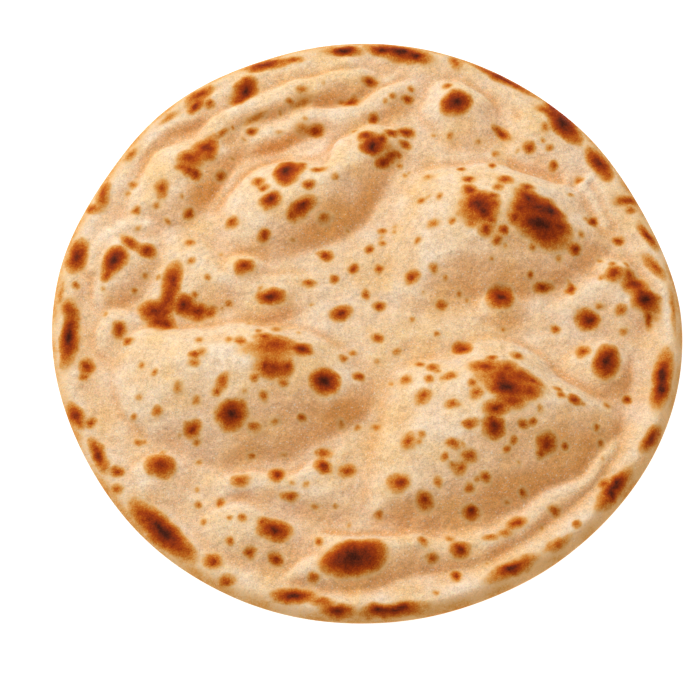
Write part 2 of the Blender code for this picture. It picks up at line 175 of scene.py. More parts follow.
# Ranges of a pattern or a look that are stretched to 0 to 1, and how strongly the colour then shows
SPECK_RANGE = (0.62, 0.74)
PIT_RANGE = (0.0, 0.45)
MOTTLE_RANGE = (0.36, 0.66)
HOLLOW_RANGE = (-0.2, 1.0)
HOLLOW_SHARE = 0.7
SHADED_RANGE = (0.02, 0.75)
SHADED_SHARE = 0.85
FLECK_RANGE = (0.36, 0.64)
FLECK_SHADES = (0.76, 1.20)  # darkest and lightest fleck, as shares of the dough's colour
# Share of the pale specks, partly flour and partly painted glints
FLOUR_AND_GLINT_SHARE = 0.6
GRAIN_BAND = (0.02, 0.35)  # depths of toasting between which the grain comes in
CRUST_BAND = (0.02, 0.16)  # depths of toasting between which crust takes over from dough
ROUGHNESS = (0.74, 0.56)  # of dough and of the darkest crust
SUBSURFACE_RADIUS = (1.0, 0.5, 0.22)
TOAST_COLORS = (
    (0.00, (240, 198, 138)),
    (0.10, (238, 193, 132)),
    (0.20, (226, 162, 86)),
    (0.30, (212, 130, 44)),
    (0.42, (197, 98, 20)),
    (0.55, (174, 68, 11)),
    (0.68, (150, 52, 10)),
    (0.80, (122, 43, 14)),
    (0.90, (98, 36, 15)),
    (1.00, (72, 26, 11)),
)
FLOOR_SIZE = 6.0
FLOOR_DROP = -0.0002
KEY_TURN = -40  # compass turn of the lamp from +Y, in degrees
KEY_HEIGHT = 48  # angle of the lamp above the floor, in degrees
KEY_DISTANCE = 1.6
KEY_SIZE = 0.9
CAMERA_TARGET = (-0.00535, -0.0109, 0.0)


class Blister(NamedTuple):
    """A raised oval of dough. Its top leans off its middle by lean_x and lean_y."""

    x: float
    y: float
    half_length: float
    half_width: float
    turn: float
    height: float
    lean_x: float = 0.0
    lean_y: float = 0.0


class Puff(NamedTuple):
    """A large blister: its top, its height, how domed it is (2) or pointed (1), and its outline."""

    x: float
    y: float
    height: float
    dome: float
    outline: tuple


class Fold(NamedTuple):
    """A long ridge, or with a negative height a crease, along a route of points."""

    route: tuple
    half_width: float
    height: float


PUFFS = (
    # south-east blister
    Puff(
        0.041, -0.032, 0.0152, 1.9,
        (
            (0.000, -0.040), (0.002, -0.027), (0.008, -0.018), (0.018, -0.012), (0.030, -0.008),
            (0.042, -0.007), (0.054, -0.012), (0.065, -0.021), (0.076, -0.030), (0.081, -0.036),
            (0.078, -0.043), (0.070, -0.051), (0.060, -0.058), (0.048, -0.065), (0.038, -0.069),
            (0.026, -0.071), (0.012, -0.0705), (0.004, -0.069), (-0.001, -0.062), (-0.002, -0.050),
        ),
    ),
    # south-west blister
    Puff(
        -0.034, -0.021, 0.0132, 1.95,
        (
            (-0.080, -0.010), (-0.080, -0.022), (-0.077, -0.032), (-0.070, -0.0395),
            (-0.060, -0.046), (-0.050, -0.0498), (-0.035, -0.051), (-0.022, -0.050),
            (-0.016, -0.045), (-0.008, -0.0415), (0.000, -0.036), (0.005, -0.028), (0.004, -0.018),
            (-0.004, -0.010), (-0.016, -0.005), (-0.032, -0.002), (-0.050, -0.002),
            (-0.066, -0.003), (-0.076, -0.005),
        ),
    ),
    # north-east blister
    Puff(
        0.044, 0.033, 0.0132, 1.9,
        (
            (0.005, 0.012), (0.002, 0.022), (0.004, 0.033), (0.008, 0.044), (0.014, 0.052),
            (0.024, 0.056), (0.034, 0.056), (0.046, 0.055), (0.058, 0.053), (0.068, 0.048),
            (0.075, 0.039), (0.080, 0.028), (0.077, 0.020), (0.070, 0.014), (0.062, 0.009),
            (0.052, 0.006), (0.042, 0.004), (0.032, 0.002), (0.022, 0.001), (0.012, 0.004),
        ),
    ),
    # north-west middle blister
    Puff(
        -0.017, 0.041, 0.0108, 1.9,
        (
            (-0.049, 0.032), (-0.049, 0.040), (-0.044, 0.048), (-0.036, 0.054), (-0.027, 0.057),
            (-0.018, 0.0575), (-0.012, 0.061), (-0.007, 0.067), (0.002, 0.069), (0.012, 0.0695),
            (0.017, 0.066), (0.014, 0.058), (0.011, 0.050), (0.008, 0.041), (0.002, 0.033),
            (-0.007, 0.026), (-0.016, 0.021), (-0.027, 0.019), (-0.038, 0.0205), (-0.046, 0.025),
        ),
    ),
    # north-west pillow
    Puff(
        -0.059, 0.050, 0.0062, 1.8,
        (
            (-0.079, 0.034), (-0.078, 0.046), (-0.073, 0.056), (-0.064, 0.0635), (-0.053, 0.068),
            (-0.044, 0.069), (-0.038, 0.064), (-0.041, 0.056), (-0.046, 0.048), (-0.050, 0.040),
            (-0.056, 0.0315), (-0.066, 0.0305),
        ),
    ),
    # north dome
    Puff(
        0.030, 0.077, 0.0052, 1.9,
        (
            (0.020, 0.072), (0.021, 0.082), (0.026, 0.088), (0.034, 0.088), (0.040, 0.084),
            (0.044, 0.077), (0.045, 0.069), (0.041, 0.061), (0.033, 0.059), (0.025, 0.062),
        ),
    ),
    # north-east pillow
    Puff(
        0.060, 0.068, 0.0032, 1.9,
        (
            (0.048, 0.084), (0.056, 0.083), (0.065, 0.075), (0.072, 0.066), (0.076, 0.056),
            (0.074, 0.049), (0.066, 0.048), (0.056, 0.053), (0.047, 0.056), (0.045, 0.066),
            (0.048, 0.076),
        ),
    ),
    # west dome
    Puff(
        -0.080, 0.019, 0.0054, 1.8,
        (
            (-0.089, 0.009), (-0.090, 0.018), (-0.086, 0.027), (-0.078, 0.0315), (-0.069, 0.030),
            (-0.063, 0.024), (-0.065, 0.015), (-0.071, 0.008), (-0.079, 0.003), (-0.086, 0.003),
        ),
    ),
    # west pillow
    Puff(
        -0.052, 0.013, 0.0052, 1.7,
        (
            (-0.069, 0.024), (-0.062, 0.029), (-0.052, 0.028), (-0.044, 0.023), (-0.035, 0.020),
            (-0.026, 0.018), (-0.014, 0.016), (-0.004, 0.014), (0.000, 0.007), (-0.008, 0.000),
            (-0.020, -0.002), (-0.035, -0.002), (-0.048, -0.004), (-0.060, -0.006),
            (-0.070, -0.004), (-0.073, 0.006), (-0.071, 0.016),
        ),
    ),
    # west edge dome
    Puff(
        -0.079, -0.002, 0.0028, 1.9,
        (
            (-0.085, -0.012), (-0.086, -0.002), (-0.081, 0.004), (-0.073, 0.003), (-0.069, -0.005),
            (-0.072, -0.012), (-0.079, -0.016),
        ),
    ),
    # middle dome
    Puff(
        0.042, 0.004, 0.005, 1.9,
        (
            (0.034, -0.001), (0.035, 0.007), (0.041, 0.012), (0.049, 0.010), (0.053, 0.003),
            (0.051, -0.005), (0.045, -0.008), (0.038, -0.006),
        ),
    ),
    # middle swell
    Puff(
        0.014, -0.006, 0.0032, 1.8,
        (
            (-0.003, -0.003), (0.004, 0.006), (0.014, 0.008), (0.026, 0.006), (0.038, 0.002),
            (0.044, -0.004), (0.036, -0.010), (0.024, -0.012), (0.012, -0.017), (0.003, -0.022),
            (-0.004, -0.014),
        ),
    ),
    # east pillow
    Puff(
        0.080, 0.012, 0.0036, 1.8,
        (
            (0.048, -0.002), (0.055, 0.004), (0.066, 0.011), (0.077, 0.0195), (0.086, 0.021),
            (0.092, 0.012), (0.093, 0.002), (0.090, -0.006), (0.084, -0.009), (0.075, -0.007),
            (0.064, -0.007), (0.055, -0.006),
        ),
    ),
    # east dome
    Puff(
        0.073, -0.016, 0.0046, 1.8,
        (
            (0.062, -0.020), (0.064, -0.012), (0.071, -0.007), (0.080, -0.008), (0.084, -0.016),
            (0.083, -0.024), (0.076, -0.029), (0.068, -0.027),
        ),
    ),
    # south pillow
    Puff(
        -0.022, -0.056, 0.0042, 1.7,
        (
            (-0.054, -0.056), (-0.050, -0.052), (-0.040, -0.052), (-0.028, -0.0515),
            (-0.020, -0.050), (-0.015, -0.0455), (-0.007, -0.0425), (0.001, -0.040),
            (0.001, -0.050), (0.002, -0.060), (0.001, -0.067), (-0.010, -0.069), (-0.021, -0.067),
            (-0.030, -0.063), (-0.042, -0.061), (-0.050, -0.060),
        ),
    ),
    # south blister
    Puff(
        -0.005, -0.079, 0.0062, 1.8,
        (
            (-0.025, -0.086), (-0.019, -0.079), (-0.017, -0.072), (-0.008, -0.0715),
            (0.005, -0.0725), (0.020, -0.0725), (0.031, -0.073), (0.037, -0.076), (0.028, -0.081),
            (0.018, -0.085), (0.005, -0.0895), (-0.008, -0.091), (-0.018, -0.090),
        ),
    ),
    # south-west lower dome
    Puff(
        -0.036, -0.070, 0.0042, 1.8,
        (
            (-0.052, -0.067), (-0.045, -0.061), (-0.035, -0.062), (-0.026, -0.066),
            (-0.019, -0.071), (-0.020, -0.079), (-0.028, -0.084), (-0.040, -0.082),
            (-0.049, -0.076),
        ),
    ),
    # south-west low dome
    Puff(
        -0.063, -0.052, 0.003, 1.9,
        (
            (-0.073, -0.052), (-0.066, -0.046), (-0.057, -0.048), (-0.052, -0.054),
            (-0.057, -0.062), (-0.066, -0.063), (-0.072, -0.059),
        ),
    ),
)

BLISTERS = (
    # the whole bread swells a little towards its middle
    Blister(0.004, -0.004, 0.090, 0.084, 0, 0.0024),
    # shoulders of the large blisters
    Blister(0.020, -0.055, 0.022, 0.016, 25, 0.0092, -0.002, 0.0),
    Blister(-0.012, -0.027, 0.016, 0.013, 20, 0.0090),
    Blister(-0.041, -0.037, 0.022, 0.011, 0, 0.0072),
    Blister(0.001, 0.060, 0.012, 0.010, 40, 0.0066),
    # low swells between them
    Blister(0.024, 0.012, 0.024, 0.014, 10, 0.0052),
    Blister(-0.030, 0.006, 0.016, 0.011, 0, 0.0056),
    Blister(-0.038, 0.016, 0.010, 0.008, 0, 0.0058),
    Blister(0.088, 0.005, 0.009, 0.009, 0, 0.0042),
    Blister(0.080, 0.014, 0.009, 0.008, 0, 0.0042),
)

RIDGES = (
    # long roll from the north-west round to the north
    Fold(
        (
            (-0.058, 0.062), (-0.046, 0.069), (-0.034, 0.076), (-0.020, 0.082), (-0.006, 0.087),
            (0.008, 0.092),
        ),
        0.0085, 0.0044,
    ),
    # second roll below it
    Fold(
        (
            (-0.042, 0.061), (-0.030, 0.066), (-0.016, 0.070), (-0.004, 0.073), (0.008, 0.080),
            (0.020, 0.089),
        ),
        0.0062, 0.0034,
    ),
    # pillow between the long roll and the north-west edge
    Fold(
        (
            (-0.080, 0.048), (-0.072, 0.061), (-0.058, 0.074), (-0.040, 0.085), (-0.020, 0.092),
            (0.002, 0.096),
        ),
        0.0062, 0.0028,
    ),
    # beside the east and west edges
    Fold(((0.084, 0.031), (0.078, 0.042), (0.070, 0.051)), 0.005, 0.0025),
    Fold(((-0.089, 0.012), (-0.086, 0.024), (-0.076, 0.031), (-0.064, 0.029)), 0.005, 0.0025),
    # pillow below the south-east blister
    Fold(
        (
            (0.006, -0.076), (0.020, -0.0775), (0.034, -0.0755), (0.046, -0.071), (0.058, -0.0635),
            (0.069, -0.0555), (0.078, -0.045), (0.084, -0.034),
        ),
        0.0050, 0.0032,
    ),
)

CREASES = (
    # inside the north-west edge
    Fold(
        (
            (-0.084, 0.036), (-0.076, 0.049), (-0.064, 0.063), (-0.050, 0.0725), (-0.036, 0.080),
            (-0.020, 0.0865), (-0.004, 0.0905), (0.010, 0.094),
        ),
        0.0018, -0.0016,
    ),
    # between the two rolls
    Fold(
        (
            (-0.046, 0.065), (-0.034, 0.071), (-0.022, 0.0755), (-0.010, 0.078), (0.0, 0.080),
            (0.010, 0.086), (0.019, 0.092),
        ),
        0.0018, -0.0016,
    ),
    # above the blister between the north and the middle
    Fold(
        (
            (-0.052, 0.033), (-0.047, 0.044), (-0.038, 0.054), (-0.027, 0.060), (-0.018, 0.064),
            (-0.009, 0.069),
        ),
        0.0030, -0.0022,
    ),
    # short creases north-east
    Fold(((0.034, 0.087), (0.046, 0.078), (0.054, 0.070)), 0.0020, -0.0012),
    Fold(((0.046, 0.056), (0.056, 0.053), (0.066, 0.050)), 0.0020, -0.0012),
    Fold(((0.072, 0.050), (0.080, 0.038), (0.084, 0.030)), 0.0020, -0.0014),
    # inside the west edge
    Fold(
        (
            (-0.090, 0.014), (-0.091, 0.0), (-0.088, -0.010), (-0.083, -0.022), (-0.078, -0.033),
            (-0.066, -0.042),
        ),
        0.0024, -0.0015,
    ),
    # inside the raised ring from the east round to the south
    Fold(
        (
            (0.094, -0.007), (0.087, -0.014), (0.084, -0.026), (0.083, -0.038), (0.079, -0.048),
            (0.069, -0.060), (0.060, -0.069), (0.050, -0.0755), (0.040, -0.0795), (0.028, -0.085),
            (0.010, -0.0895), (-0.010, -0.0925),
        ),
        0.0024, -0.0020,
    ),
)


# ---- Shapes ----


def smooth_step(value):
    """0 below 0, 1 above 1, and a smooth rise between."""
    share = np.clip(value, 0, 1)
    return share * share * (3 - 2 * share)


def noise(x, y, size, seed):
    """Smooth unevenness between about -1 and 1, whose lumps are about size across."""
    angle = np.random.default_rng(seed).uniform(0, 2 * math.pi, (LATTICE, LATTICE))
    u = x / size
    v = y / size
    column = np.floor(u).astype(int)
    row = np.floor(v).astype(int)
    u = u - column
    v = v - row

    def corner(right, up):
        slope = angle[(column + right) % LATTICE, (row + up) % LATTICE]
        return np.cos(slope) * (u - right) + np.sin(slope) * (v - up)

    across = u * u * u * (u * (u * 6 - 15) + 10)
    along = v * v * v * (v * (v * 6 - 15) + 10)
    low = corner(0, 0) * (1 - across) + corner(1, 0) * across
    high = corner(0, 1) * (1 - across) + corner(1, 1) * across
    return NOISE_GAIN * (low * (1 - along) + high * along)


def higher_of(a, b, blend):
    """The larger of two heights, rounded over where both are raised and nearly equal."""
    near = np.clip(1 - np.abs(a - b) / blend, 0, 1)
    raised = np.clip(np.minimum(a, b) / blend, 0, 1)
    return np.maximum(a, b) + near * near * raised * blend / 4


def blister_height(x, y, blister):
    """Height of one blister above the sheet: a rounded oval hill with a soft foot."""
    turn = math.radians(blister.turn)
    cos, sin = math.cos(turn), math.sin(turn)
    length, width = blister.half_length, blister.half_width
    lean_u = (blister.lean_x * cos + blister.lean_y * sin) / length
    lean_v = (blister.lean_y * cos - blister.lean_x * sin) / width
    from_x = x - blister.x
    from_y = y - blister.y
    u = (from_x * cos + from_y * sin) / length - lean_u
    v = (from_y * cos - from_x * sin) / width - lean_v
    # ovals that shrink from the outline towards the leaning top: reach is each point's own oval
    lean = lean_u * lean_u + lean_v * lean_v
    along = u * lean_u + v * lean_v
    reach = (along + np.sqrt(along * along + (1 - lean) * (u * u + v * v))) / (1 - lean)
    rise = 1 - reach * reach
    return blister.height * 0.5 * (rise + np.sqrt(rise * rise + FOOT * FOOT))


def puff_height(x, y, puff):
    """Height of a large blister above the sheet: a dome that falls to its own outline."""
    points = list(puff.outline)
    curve = smooth_route(points[-2:] + points + points[:2])
    curve = np.array(curve[2 * ROUTE_STEPS : -ROUTE_STEPS - 1]) - (puff.x, puff.y)
    curve_angles = np.arctan2(curve[:, 1], curve[:, 0])
    curve_reach = np.hypot(curve[:, 0], curve[:, 1])
    from_x = x - puff.x
    from_y = y - puff.y
    angle = np.arctan2(from_y, from_x)
    edge_reach = np.interp(angle, curve_angles, curve_reach, period=2 * math.pi)
    rise = 1 - (np.hypot(from_x, from_y) / edge_reach) ** puff.dome
    return puff.height * 0.5 * (rise + np.sqrt(rise * rise + PUFF_FOOT * PUFF_FOOT))


def smooth_route(points):
    """Points on a smooth curve through the route's own points."""
    points = np.array(points)
    before = 2 * points[0] - points[1]
    after = 2 * points[-1] - points[-2]
    points = np.vstack([before, points, after])
    curve = []
    for a, b, c, d in zip(points, points[1:], points[2:], points[3:]):
        for step in range(ROUTE_STEPS):
            t = step / ROUTE_STEPS
            bend = (2 * a - 5 * b + 4 * c - d) * t * t + (3 * b - a - 3 * c + d) * t * t * t
            curve.append(0.5 * (2 * b + (c - a) * t + bend))
    curve.append(points[-2])
    return curve


def route_distance(x, y, route):
    """Distance from a route, and the share of the route passed at its nearest point."""
    curve = smooth_route(route)
    nearest = np.full(np.shape(x), np.inf)
    passed = np.zeros(np.shape(x))
    for index, (start, end) in enumerate(zip(curve, curve[1:])):
        step_x, step_y = end - start
        along = ((x - start[0]) * step_x + (y - start[1]) * step_y) / (step_x**2 + step_y**2)
        along = np.clip(along, 0, 1)
        distance = np.hypot(x - start[0] - along * step_x, y - start[1] - along * step_y)
        passed = np.where(distance < nearest, (index + along) / (len(curve) - 1), passed)
        nearest = np.minimum(nearest, distance)
    return nearest, passed


def fold_height(x, y, fold, power):
    """Height of a ridge or a crease, rounded across and tapered at both its ends."""
    distance, passed = route_distance(x, y, fold.route)
    taper = smooth_step(np.minimum(passed, 1 - passed) / FOLD_TAPER)
    return fold.height * taper * np.exp(-((distance / fold.half_width) ** power))


def outline(angle):
    """Radius of the bread at an angle."""
    radius = RADIUS
    for bearing, width, height in OUTLINE_SWELLS:
        apart = np.degrees(angle) - bearing
        apart = np.abs((apart + 180) % 360 - 180) / width
        swell = np.cos(math.pi / 2 * np.minimum(apart, 1)) ** 2
        radius = radius + height * swell
    return radius


def blister_field(x, y):
    """Height of all the blisters and folds above the sheet."""
    for index, (size, distance) in enumerate(WANDER):
        shift_x = distance * noise(x, y, size, WANDER_SEEDS[0] + index)
        shift_y = distance * noise(x, y, size, WANDER_SEEDS[1] + index)
        x = x + shift_x
        y = y + shift_y
    height = np.zeros(np.shape(x))
    for puff in PUFFS:
        height = higher_of(height, puff_height(x, y, puff), BLEND)
    for blister in BLISTERS:
        height = higher_of(height, blister_height(x, y, blister), BLEND)
    for ridge in RIDGES:
        height = higher_of(height, fold_height(x, y, ridge, RIDGE_POWER), BLEND)
    for crease in CREASES:
        height = height + fold_height(x, y, crease, CREASE_POWER)
    return height


def rim_height(inset, angle):
    """Height of the raised ring above the sheet, inset from the edge."""
    angles, heights = zip(*RIM_HEIGHTS)
    crest = np.interp(np.degrees(angle), angles, heights)
    width = np.where(inset < RIM_CREST, RIM_CREST, RIM_INNER)
    off_crest = (inset - RIM_CREST) / width
    return crest * np.exp(-RIM_SHARPNESS * off_crest * off_crest)


def top_height(x, y):
    """Height of the bread's top, before its edge is rounded."""
    angle = np.arctan2(y, x)
    inset = outline(angle) - np.hypot(x, y)
    calm = smooth_step((inset - RIM_MARGIN) / RIM_CALM)
    uneven = 0.0
    for index, (size, height) in enumerate(LUMPS):
        uneven = uneven + height * noise(x, y, size, LUMP_SEED + index)
    raised = higher_of(blister_field(x, y) * calm, rim_height(inset, angle), BLEND)
    return SHEET + uneven * (EDGE_UNEVEN + (1 - EDGE_UNEVEN) * calm) + raised


# ---- Toasting ----


class Toast(NamedTuple):
    """A toasted oval: its middle and half sizes in millimetres, turn in degrees, depth of browning."""

    x: float
    y: float
    half_length: float
    half_width: float
    turn: float
    depth: float


# Toasted ovals: middle and half sizes in millimetres, turn in degrees, depth of browning
OVAL_TOASTS = (
    (-33, 92, 6.5, 2.3, 12, 0.75), (-24, 94, 3, 1.5, 0, 0.55), (-7, 97.5, 6, 2, 0, 0.55),
    (-7, 97.5, 3, 2, 0, 0.75), (12, 97, 10, 3, -15, 0.8), (6, 98, 3, 1.8, 0, 0.9),
    (13, 97.5, 3, 2, 0, 0.9), (18, 95, 3, 2, -20, 0.9), (31, 94, 3, 2, -80, 0.45),
    (47, 87, 10, 1.5, -30, 0.75), (66, 69.5, 7.5, 3.6, -55, 0.95), (60, 75, 3, 2, 0, 0.5),
    (77, 54.5, 5.5, 2.6, -60, 0.85), (85.5, 41, 3.5, 1.5, 0, 0.6), (91.5, 28, 4, 1.4, -65, 0.7),
    (93, 17, 4.5, 1.5, -55, 0.5), (98, 2, 8, 1, 90, 0.3), (93, -22, 8.5, 2.6, 78, 0.8),
    (93, -20, 3, 1.8, 80, 0.9), (92, -26, 3, 1.8, 80, 0.9), (88, -42.5, 4, 1.6, 55, 0.75),
    (76, -58.5, 7, 2.4, 52, 0.85), (58, -76, 4, 1.2, 30, 0.45), (44, -84, 7, 2, 24, 0.7),
    (8, -96.5, 8, 1.6, 6, 0.75), (-8.5, -96.5, 4, 1.8, -5, 0.8), (-21.5, -92, 5.5, 2.3, 0, 0.9),
    (-13, -94, 3, 1.4, 0, 0.5), (-41.5, -87, 2.5, 1.5, 0, 0.55), (-46, -81, 2.5, 2.2, 0, 0.65),
    (-61.5, -71.5, 11, 3.4, -44, 0.95), (-82, -47, 5, 1.8, -62, 0.75), (-90, -34, 4, 2, -60, 0.7),
    (-87.5, -17, 2.3, 2.6, 0, 0.65), (-93.3, -7, 9, 2.4, 86, 0.9), (-97, 8, 4, 1, 90, 0.3),
    (-92.5, 21, 5, 3, 75, 0.85), (-85, 43.5, 5, 2, 80, 0.5), (-77, 58, 3, 1.5, 55, 0.35),
    (-65, 72, 4, 1.5, 40, 0.3), (-55, 80.5, 5, 2.5, 35, 0.6), (-56, 76, 3, 1.6, 40, 0.5),
    (-39.5, 82, 4.5, 3.2, 60, 0.9), (-52.3, 60, 4.5, 3, 50, 0.7), (-57, 54.5, 3.5, 3, 0, 0.65),
    (-59, 51, 2, 1.5, 0, 0.5), (-47, 50, 1.8, 1.2, 40, 0.55), (-66, 43.5, 2, 3, 0, 0.5),
    (-37, 66.3, 1.6, 1.2, 0, 0.6), (-36, 71, 3, 0.8, 25, 0.35), (-16.2, 67.5, 2.4, 1.6, 0, 0.7),
    (-20, 67.5, 3, 2, 0, 0.3), (-20.5, 81, 1.6, 1.2, 0, 0.4), (-21, 77, 4, 1.3, 30, 0.35),
    (-4, 78, 2.6, 1.6, 15, 0.65), (-7.5, 78.7, 1.2, 0.7, 0, 0.35), (2, 85.7, 2.3, 1.4, 10, 0.65),
    (3.2, 70.8, 1.9, 1.3, 105, 0.6), (14.6, 78.7, 2, 1.5, 0, 0.55), (28, 83.3, 1.5, 1.2, 0, 0.45),
    (30.6, 76, 4.6, 4, 40, 0.95), (45.8, 66.5, 3, 1.6, -45, 0.7), (41.5, 53, 1.3, 0.9, 90, 0.5),
    (0.5, 62.3, 2.2, 2, 0, 0.75), (5.5, 61.8, 2, 1.6, 45, 0.7), (2.5, 58.5, 3.6, 3, 35, 0.95),
    (9.6, 64.7, 2, 1.6, 0, 0.7), (14, 66.3, 2.2, 1.8, 0, 0.7), (13.5, 61.4, 1.5, 1.1, 0, 0.55),
    (6.5, 54, 3, 1.6, 35, 0.7), (9, 56.3, 2, 1.3, 35, 0.6), (-25, 48.5, 5.2, 4, 90, 0.92),
    (-15, 48.6, 2, 1.3, 0, 0.5), (-32.5, 42.5, 1.3, 1.1, 0, 0.5), (-18, 42, 2, 1.6, 20, 0.6),
    (-30.3, 37.5, 3, 2.2, 30, 0.75), (-20, 35, 4, 2.4, 28, 0.75), (-13, 31.5, 2, 1.4, 20, 0.45),
    (-18, 10.5, 1.6, 1, 0, 0.5), (-7.6, 0.5, 2.8, 2.2, 0, 0.75), (4, -8, 1.5, 1.1, 0, 0.5),
    (-29.7, 5, 4, 2.4, 3, 0.9), (-38.3, 15.6, 2.8, 2.6, 0, 0.7), (-43, 3.5, 1.2, 1, 0, 0.35),
    (-80, 18, 4.6, 3.4, 60, 0.92), (-75, 25, 3.5, 1.8, -35, 0.6), (-61.5, 12, 5, 2.6, 80, 0.7),
    (-66.5, 1.5, 4.5, 3.5, 0, 0.75), (-53, 1.5, 3, 1.8, 0, 0.65), (-77.5, -5.4, 2, 2.5, 0, 0.65),
    (36.5, 34, 4.5, 4.3, 0, 0.8), (33.5, 39.7, 2.2, 2, 0, 0.65), (39, 25.5, 2.5, 2, 0, 0.5),
    (52, 37, 4, 3, -40, 0.85), (60, 32.8, 4.5, 2.8, -20, 0.9), (55, 28, 4.5, 2.8, 0, 0.95),
    (52.5, 41.5, 2, 1.5, 0, 0.6), (45.5, 44, 2.5, 2, 0, 0.55), (33.7, 44.8, 1.8, 1.5, 0, 0.6),
    (22, 29, 2, 1.5, 0, 0.4), (74.2, 33.2, 1.5, 1.8, 0, 0.7), (82.4, 26.8, 1.6, 1.3, 0, 0.6),
    (57, 9.1, 2.3, 1.4, 12, 0.7), (42.9, 5.1, 3.8, 3.6, 0, 0.9), (79.8, 13.3, 2.8, 2.4, 0, 0.65),
    (84.5, 13.5, 1.5, 2, 0, 0.6), (86.5, 10, 3.4, 2.6, 0, 0.75), (89.5, 4.3, 4, 3, 0, 0.93),
    (90, -1, 2.5, 1.2, 90, 0.6), (75, 3.2, 1.3, 1, 0, 0.3), (71, -1.5, 3.2, 3, 0, 0.85),
    (75.9, -16.7, 5, 3.6, 75, 0.95), (47.6, -16.5, 1.7, 1.4, 0, 0.55), (39, -18, 1.4, 1, 0, 0.45),
    (21, -20, 1.8, 1.6, 0, 0.5), (26.5, -24.5, 2.3, 1.5, 0, 0.45), (26.5, -34.5, 1.8, 1.2, 0, 0.45),
    (37, -21.5, 4, 2.5, -5, 0.65), (44, -22, 3, 2.5, 0, 0.6), (48, -25, 4, 3, 0, 0.65),
    (52, -26.5, 3, 2, -30, 0.65), (43, -30, 5, 3.5, -10, 0.97), (40, -36.5, 4, 2.4, 10, 0.7),
    (32, -41, 2, 1.2, 0, 0.55), (64.5, -31.5, 1.8, 1.5, 0, 0.65), (55, -46, 2.6, 2.8, 0, 0.75),
    (13, -45, 2.2, 2.6, 0, 0.5), (26.5, -47.5, 2, 1.2, 0, 0.5), (31, -51, 2.2, 1.8, 0, 0.6),
    (28.5, -54.5, 2.2, 1.8, 0, 0.5), (10, -58, 3.5, 2.8, 0, 0.5), (32, -66.5, 2.4, 1.7, 0, 0.8),
    (57.5, -65, 1.8, 1.3, 0, 0.55), (46, -69.5, 2.8, 1.6, 25, 0.6), (42, -72.5, 2, 1, 0, 0.4),
    (37.5, -74, 1.6, 1, 0, 0.45), (26, -74, 1.2, 1, 0, 0.3), (28.5, -77.7, 2.6, 2, 0, 0.75),
    (20, -80, 1.6, 1.3, 0, 0.5), (4, -67, 1.2, 0.9, 0, 0.4), (-27.5, -14, 5.5, 3.5, 10, 0.6),
    (-20, -15, 2.8, 2, 0, 0.85), (-31, -11, 3, 1.5, 0, 0.5), (-28, -22.5, 5, 3.5, 0, 0.6),
    (-12.5, -25.6, 4, 3.8, 0, 0.97), (-44, -27, 2.5, 1.8, 50, 0.5), (-41, -36.4, 4.4, 3.8, 20, 0.95),
    (-53.3, -39.8, 2.4, 2, 0, 0.7), (3.5, -38.5, 1.8, 1.2, 0, 0.35), (-62.8, -50.8, 4.2, 3.2, -25, 0.7),
    (-12.5, -46.5, 2.2, 1.2, 0, 0.5), (-5.5, -52.5, 2.6, 2, 0, 0.6), (-38, -56, 2.6, 1.8, 0, 0.5),
    (-23, -61, 2.2, 1.3, 0, 0.55), (-27.3, -71.5, 4.5, 3.2, 0, 0.85), (-27, -80, 1.9, 1.7, 0, 0.7),
    (-3.5, -81, 8.5, 4.8, 12, 0.97), (-16, -86.5, 1.5, 1.2, 0, 0.5), (-56, 76, 2.4, 1.5, 50, 0.65),
    (-42, 78, 2.5, 2, 0, 0.6), (-6.5, 97.5, 3.5, 2, 0, 0.85), (-88.5, 38.5, 2.5, 2, 0, 0.5),
    (-94, 2.5, 2, 3, 0, 0.55), (-46.5, 65, 1.8, 0.8, 45, 0.45), (-20.5, 51, 1.5, 2.5, 0, 0.5),
    (63, 76, 4, 2, -50, 0.6), (56, 34, 5, 4, 0, 0.75), (58, 28, 6, 4.5, 0, 0.7),
    (57, 24, 4, 2.5, 0, 0.55), (63, 28, 2.5, 2, 0, 0.6), (-53, -20.5, 1.5, 1, 0, 0.35),
    (-24, -22, 1.8, 2.2, 0, 0.65), (-28, -38.5, 1.5, 1, 0, 0.3), (-35, -47.5, 1.2, 0.8, 0, 0.4),
    (42, -26, 4, 3, 0, 0.65), (50, -31, 4, 3, 0, 0.6), (45, -34.5, 4, 2, 0, 0.6),
    (43, -84, 3, 1.8, 0, 0.85), (4, -96.5, 3, 1.4, 0, 0.8), (11, -95.5, 3, 1.4, 0, 0.8),
    (-53.3, 56.3, 7, 3, 58, 0.45), (-51, 58.5, 2.5, 2, 0, 0.65), (-57, 49.8, 2, 1.8, 0, 0.6),
    (5, 60.3, 4.5, 2.8, -35, 0.45), (-20, 34.5, 3.8, 2.6, 50, 0.55), (-30, 37, 3, 2.2, 40, 0.55),
    (-62.5, 4.5, 8.5, 2.6, 76, 0.65), (-54, 1, 4, 2.4, -20, 0.6), (-65.5, -2, 3.2, 2.2, 0, 0.65),
    (-30, -16.5, 8, 3.6, -8, 0.4), (-29, -22, 5, 3, 0, 0.45), (88, 6.5, 8, 3, -60, 0.55),
    (44, -27.5, 9.5, 5.5, -25, 0.45), (56, 29, 9.5, 6.5, -35, 0.6),
)
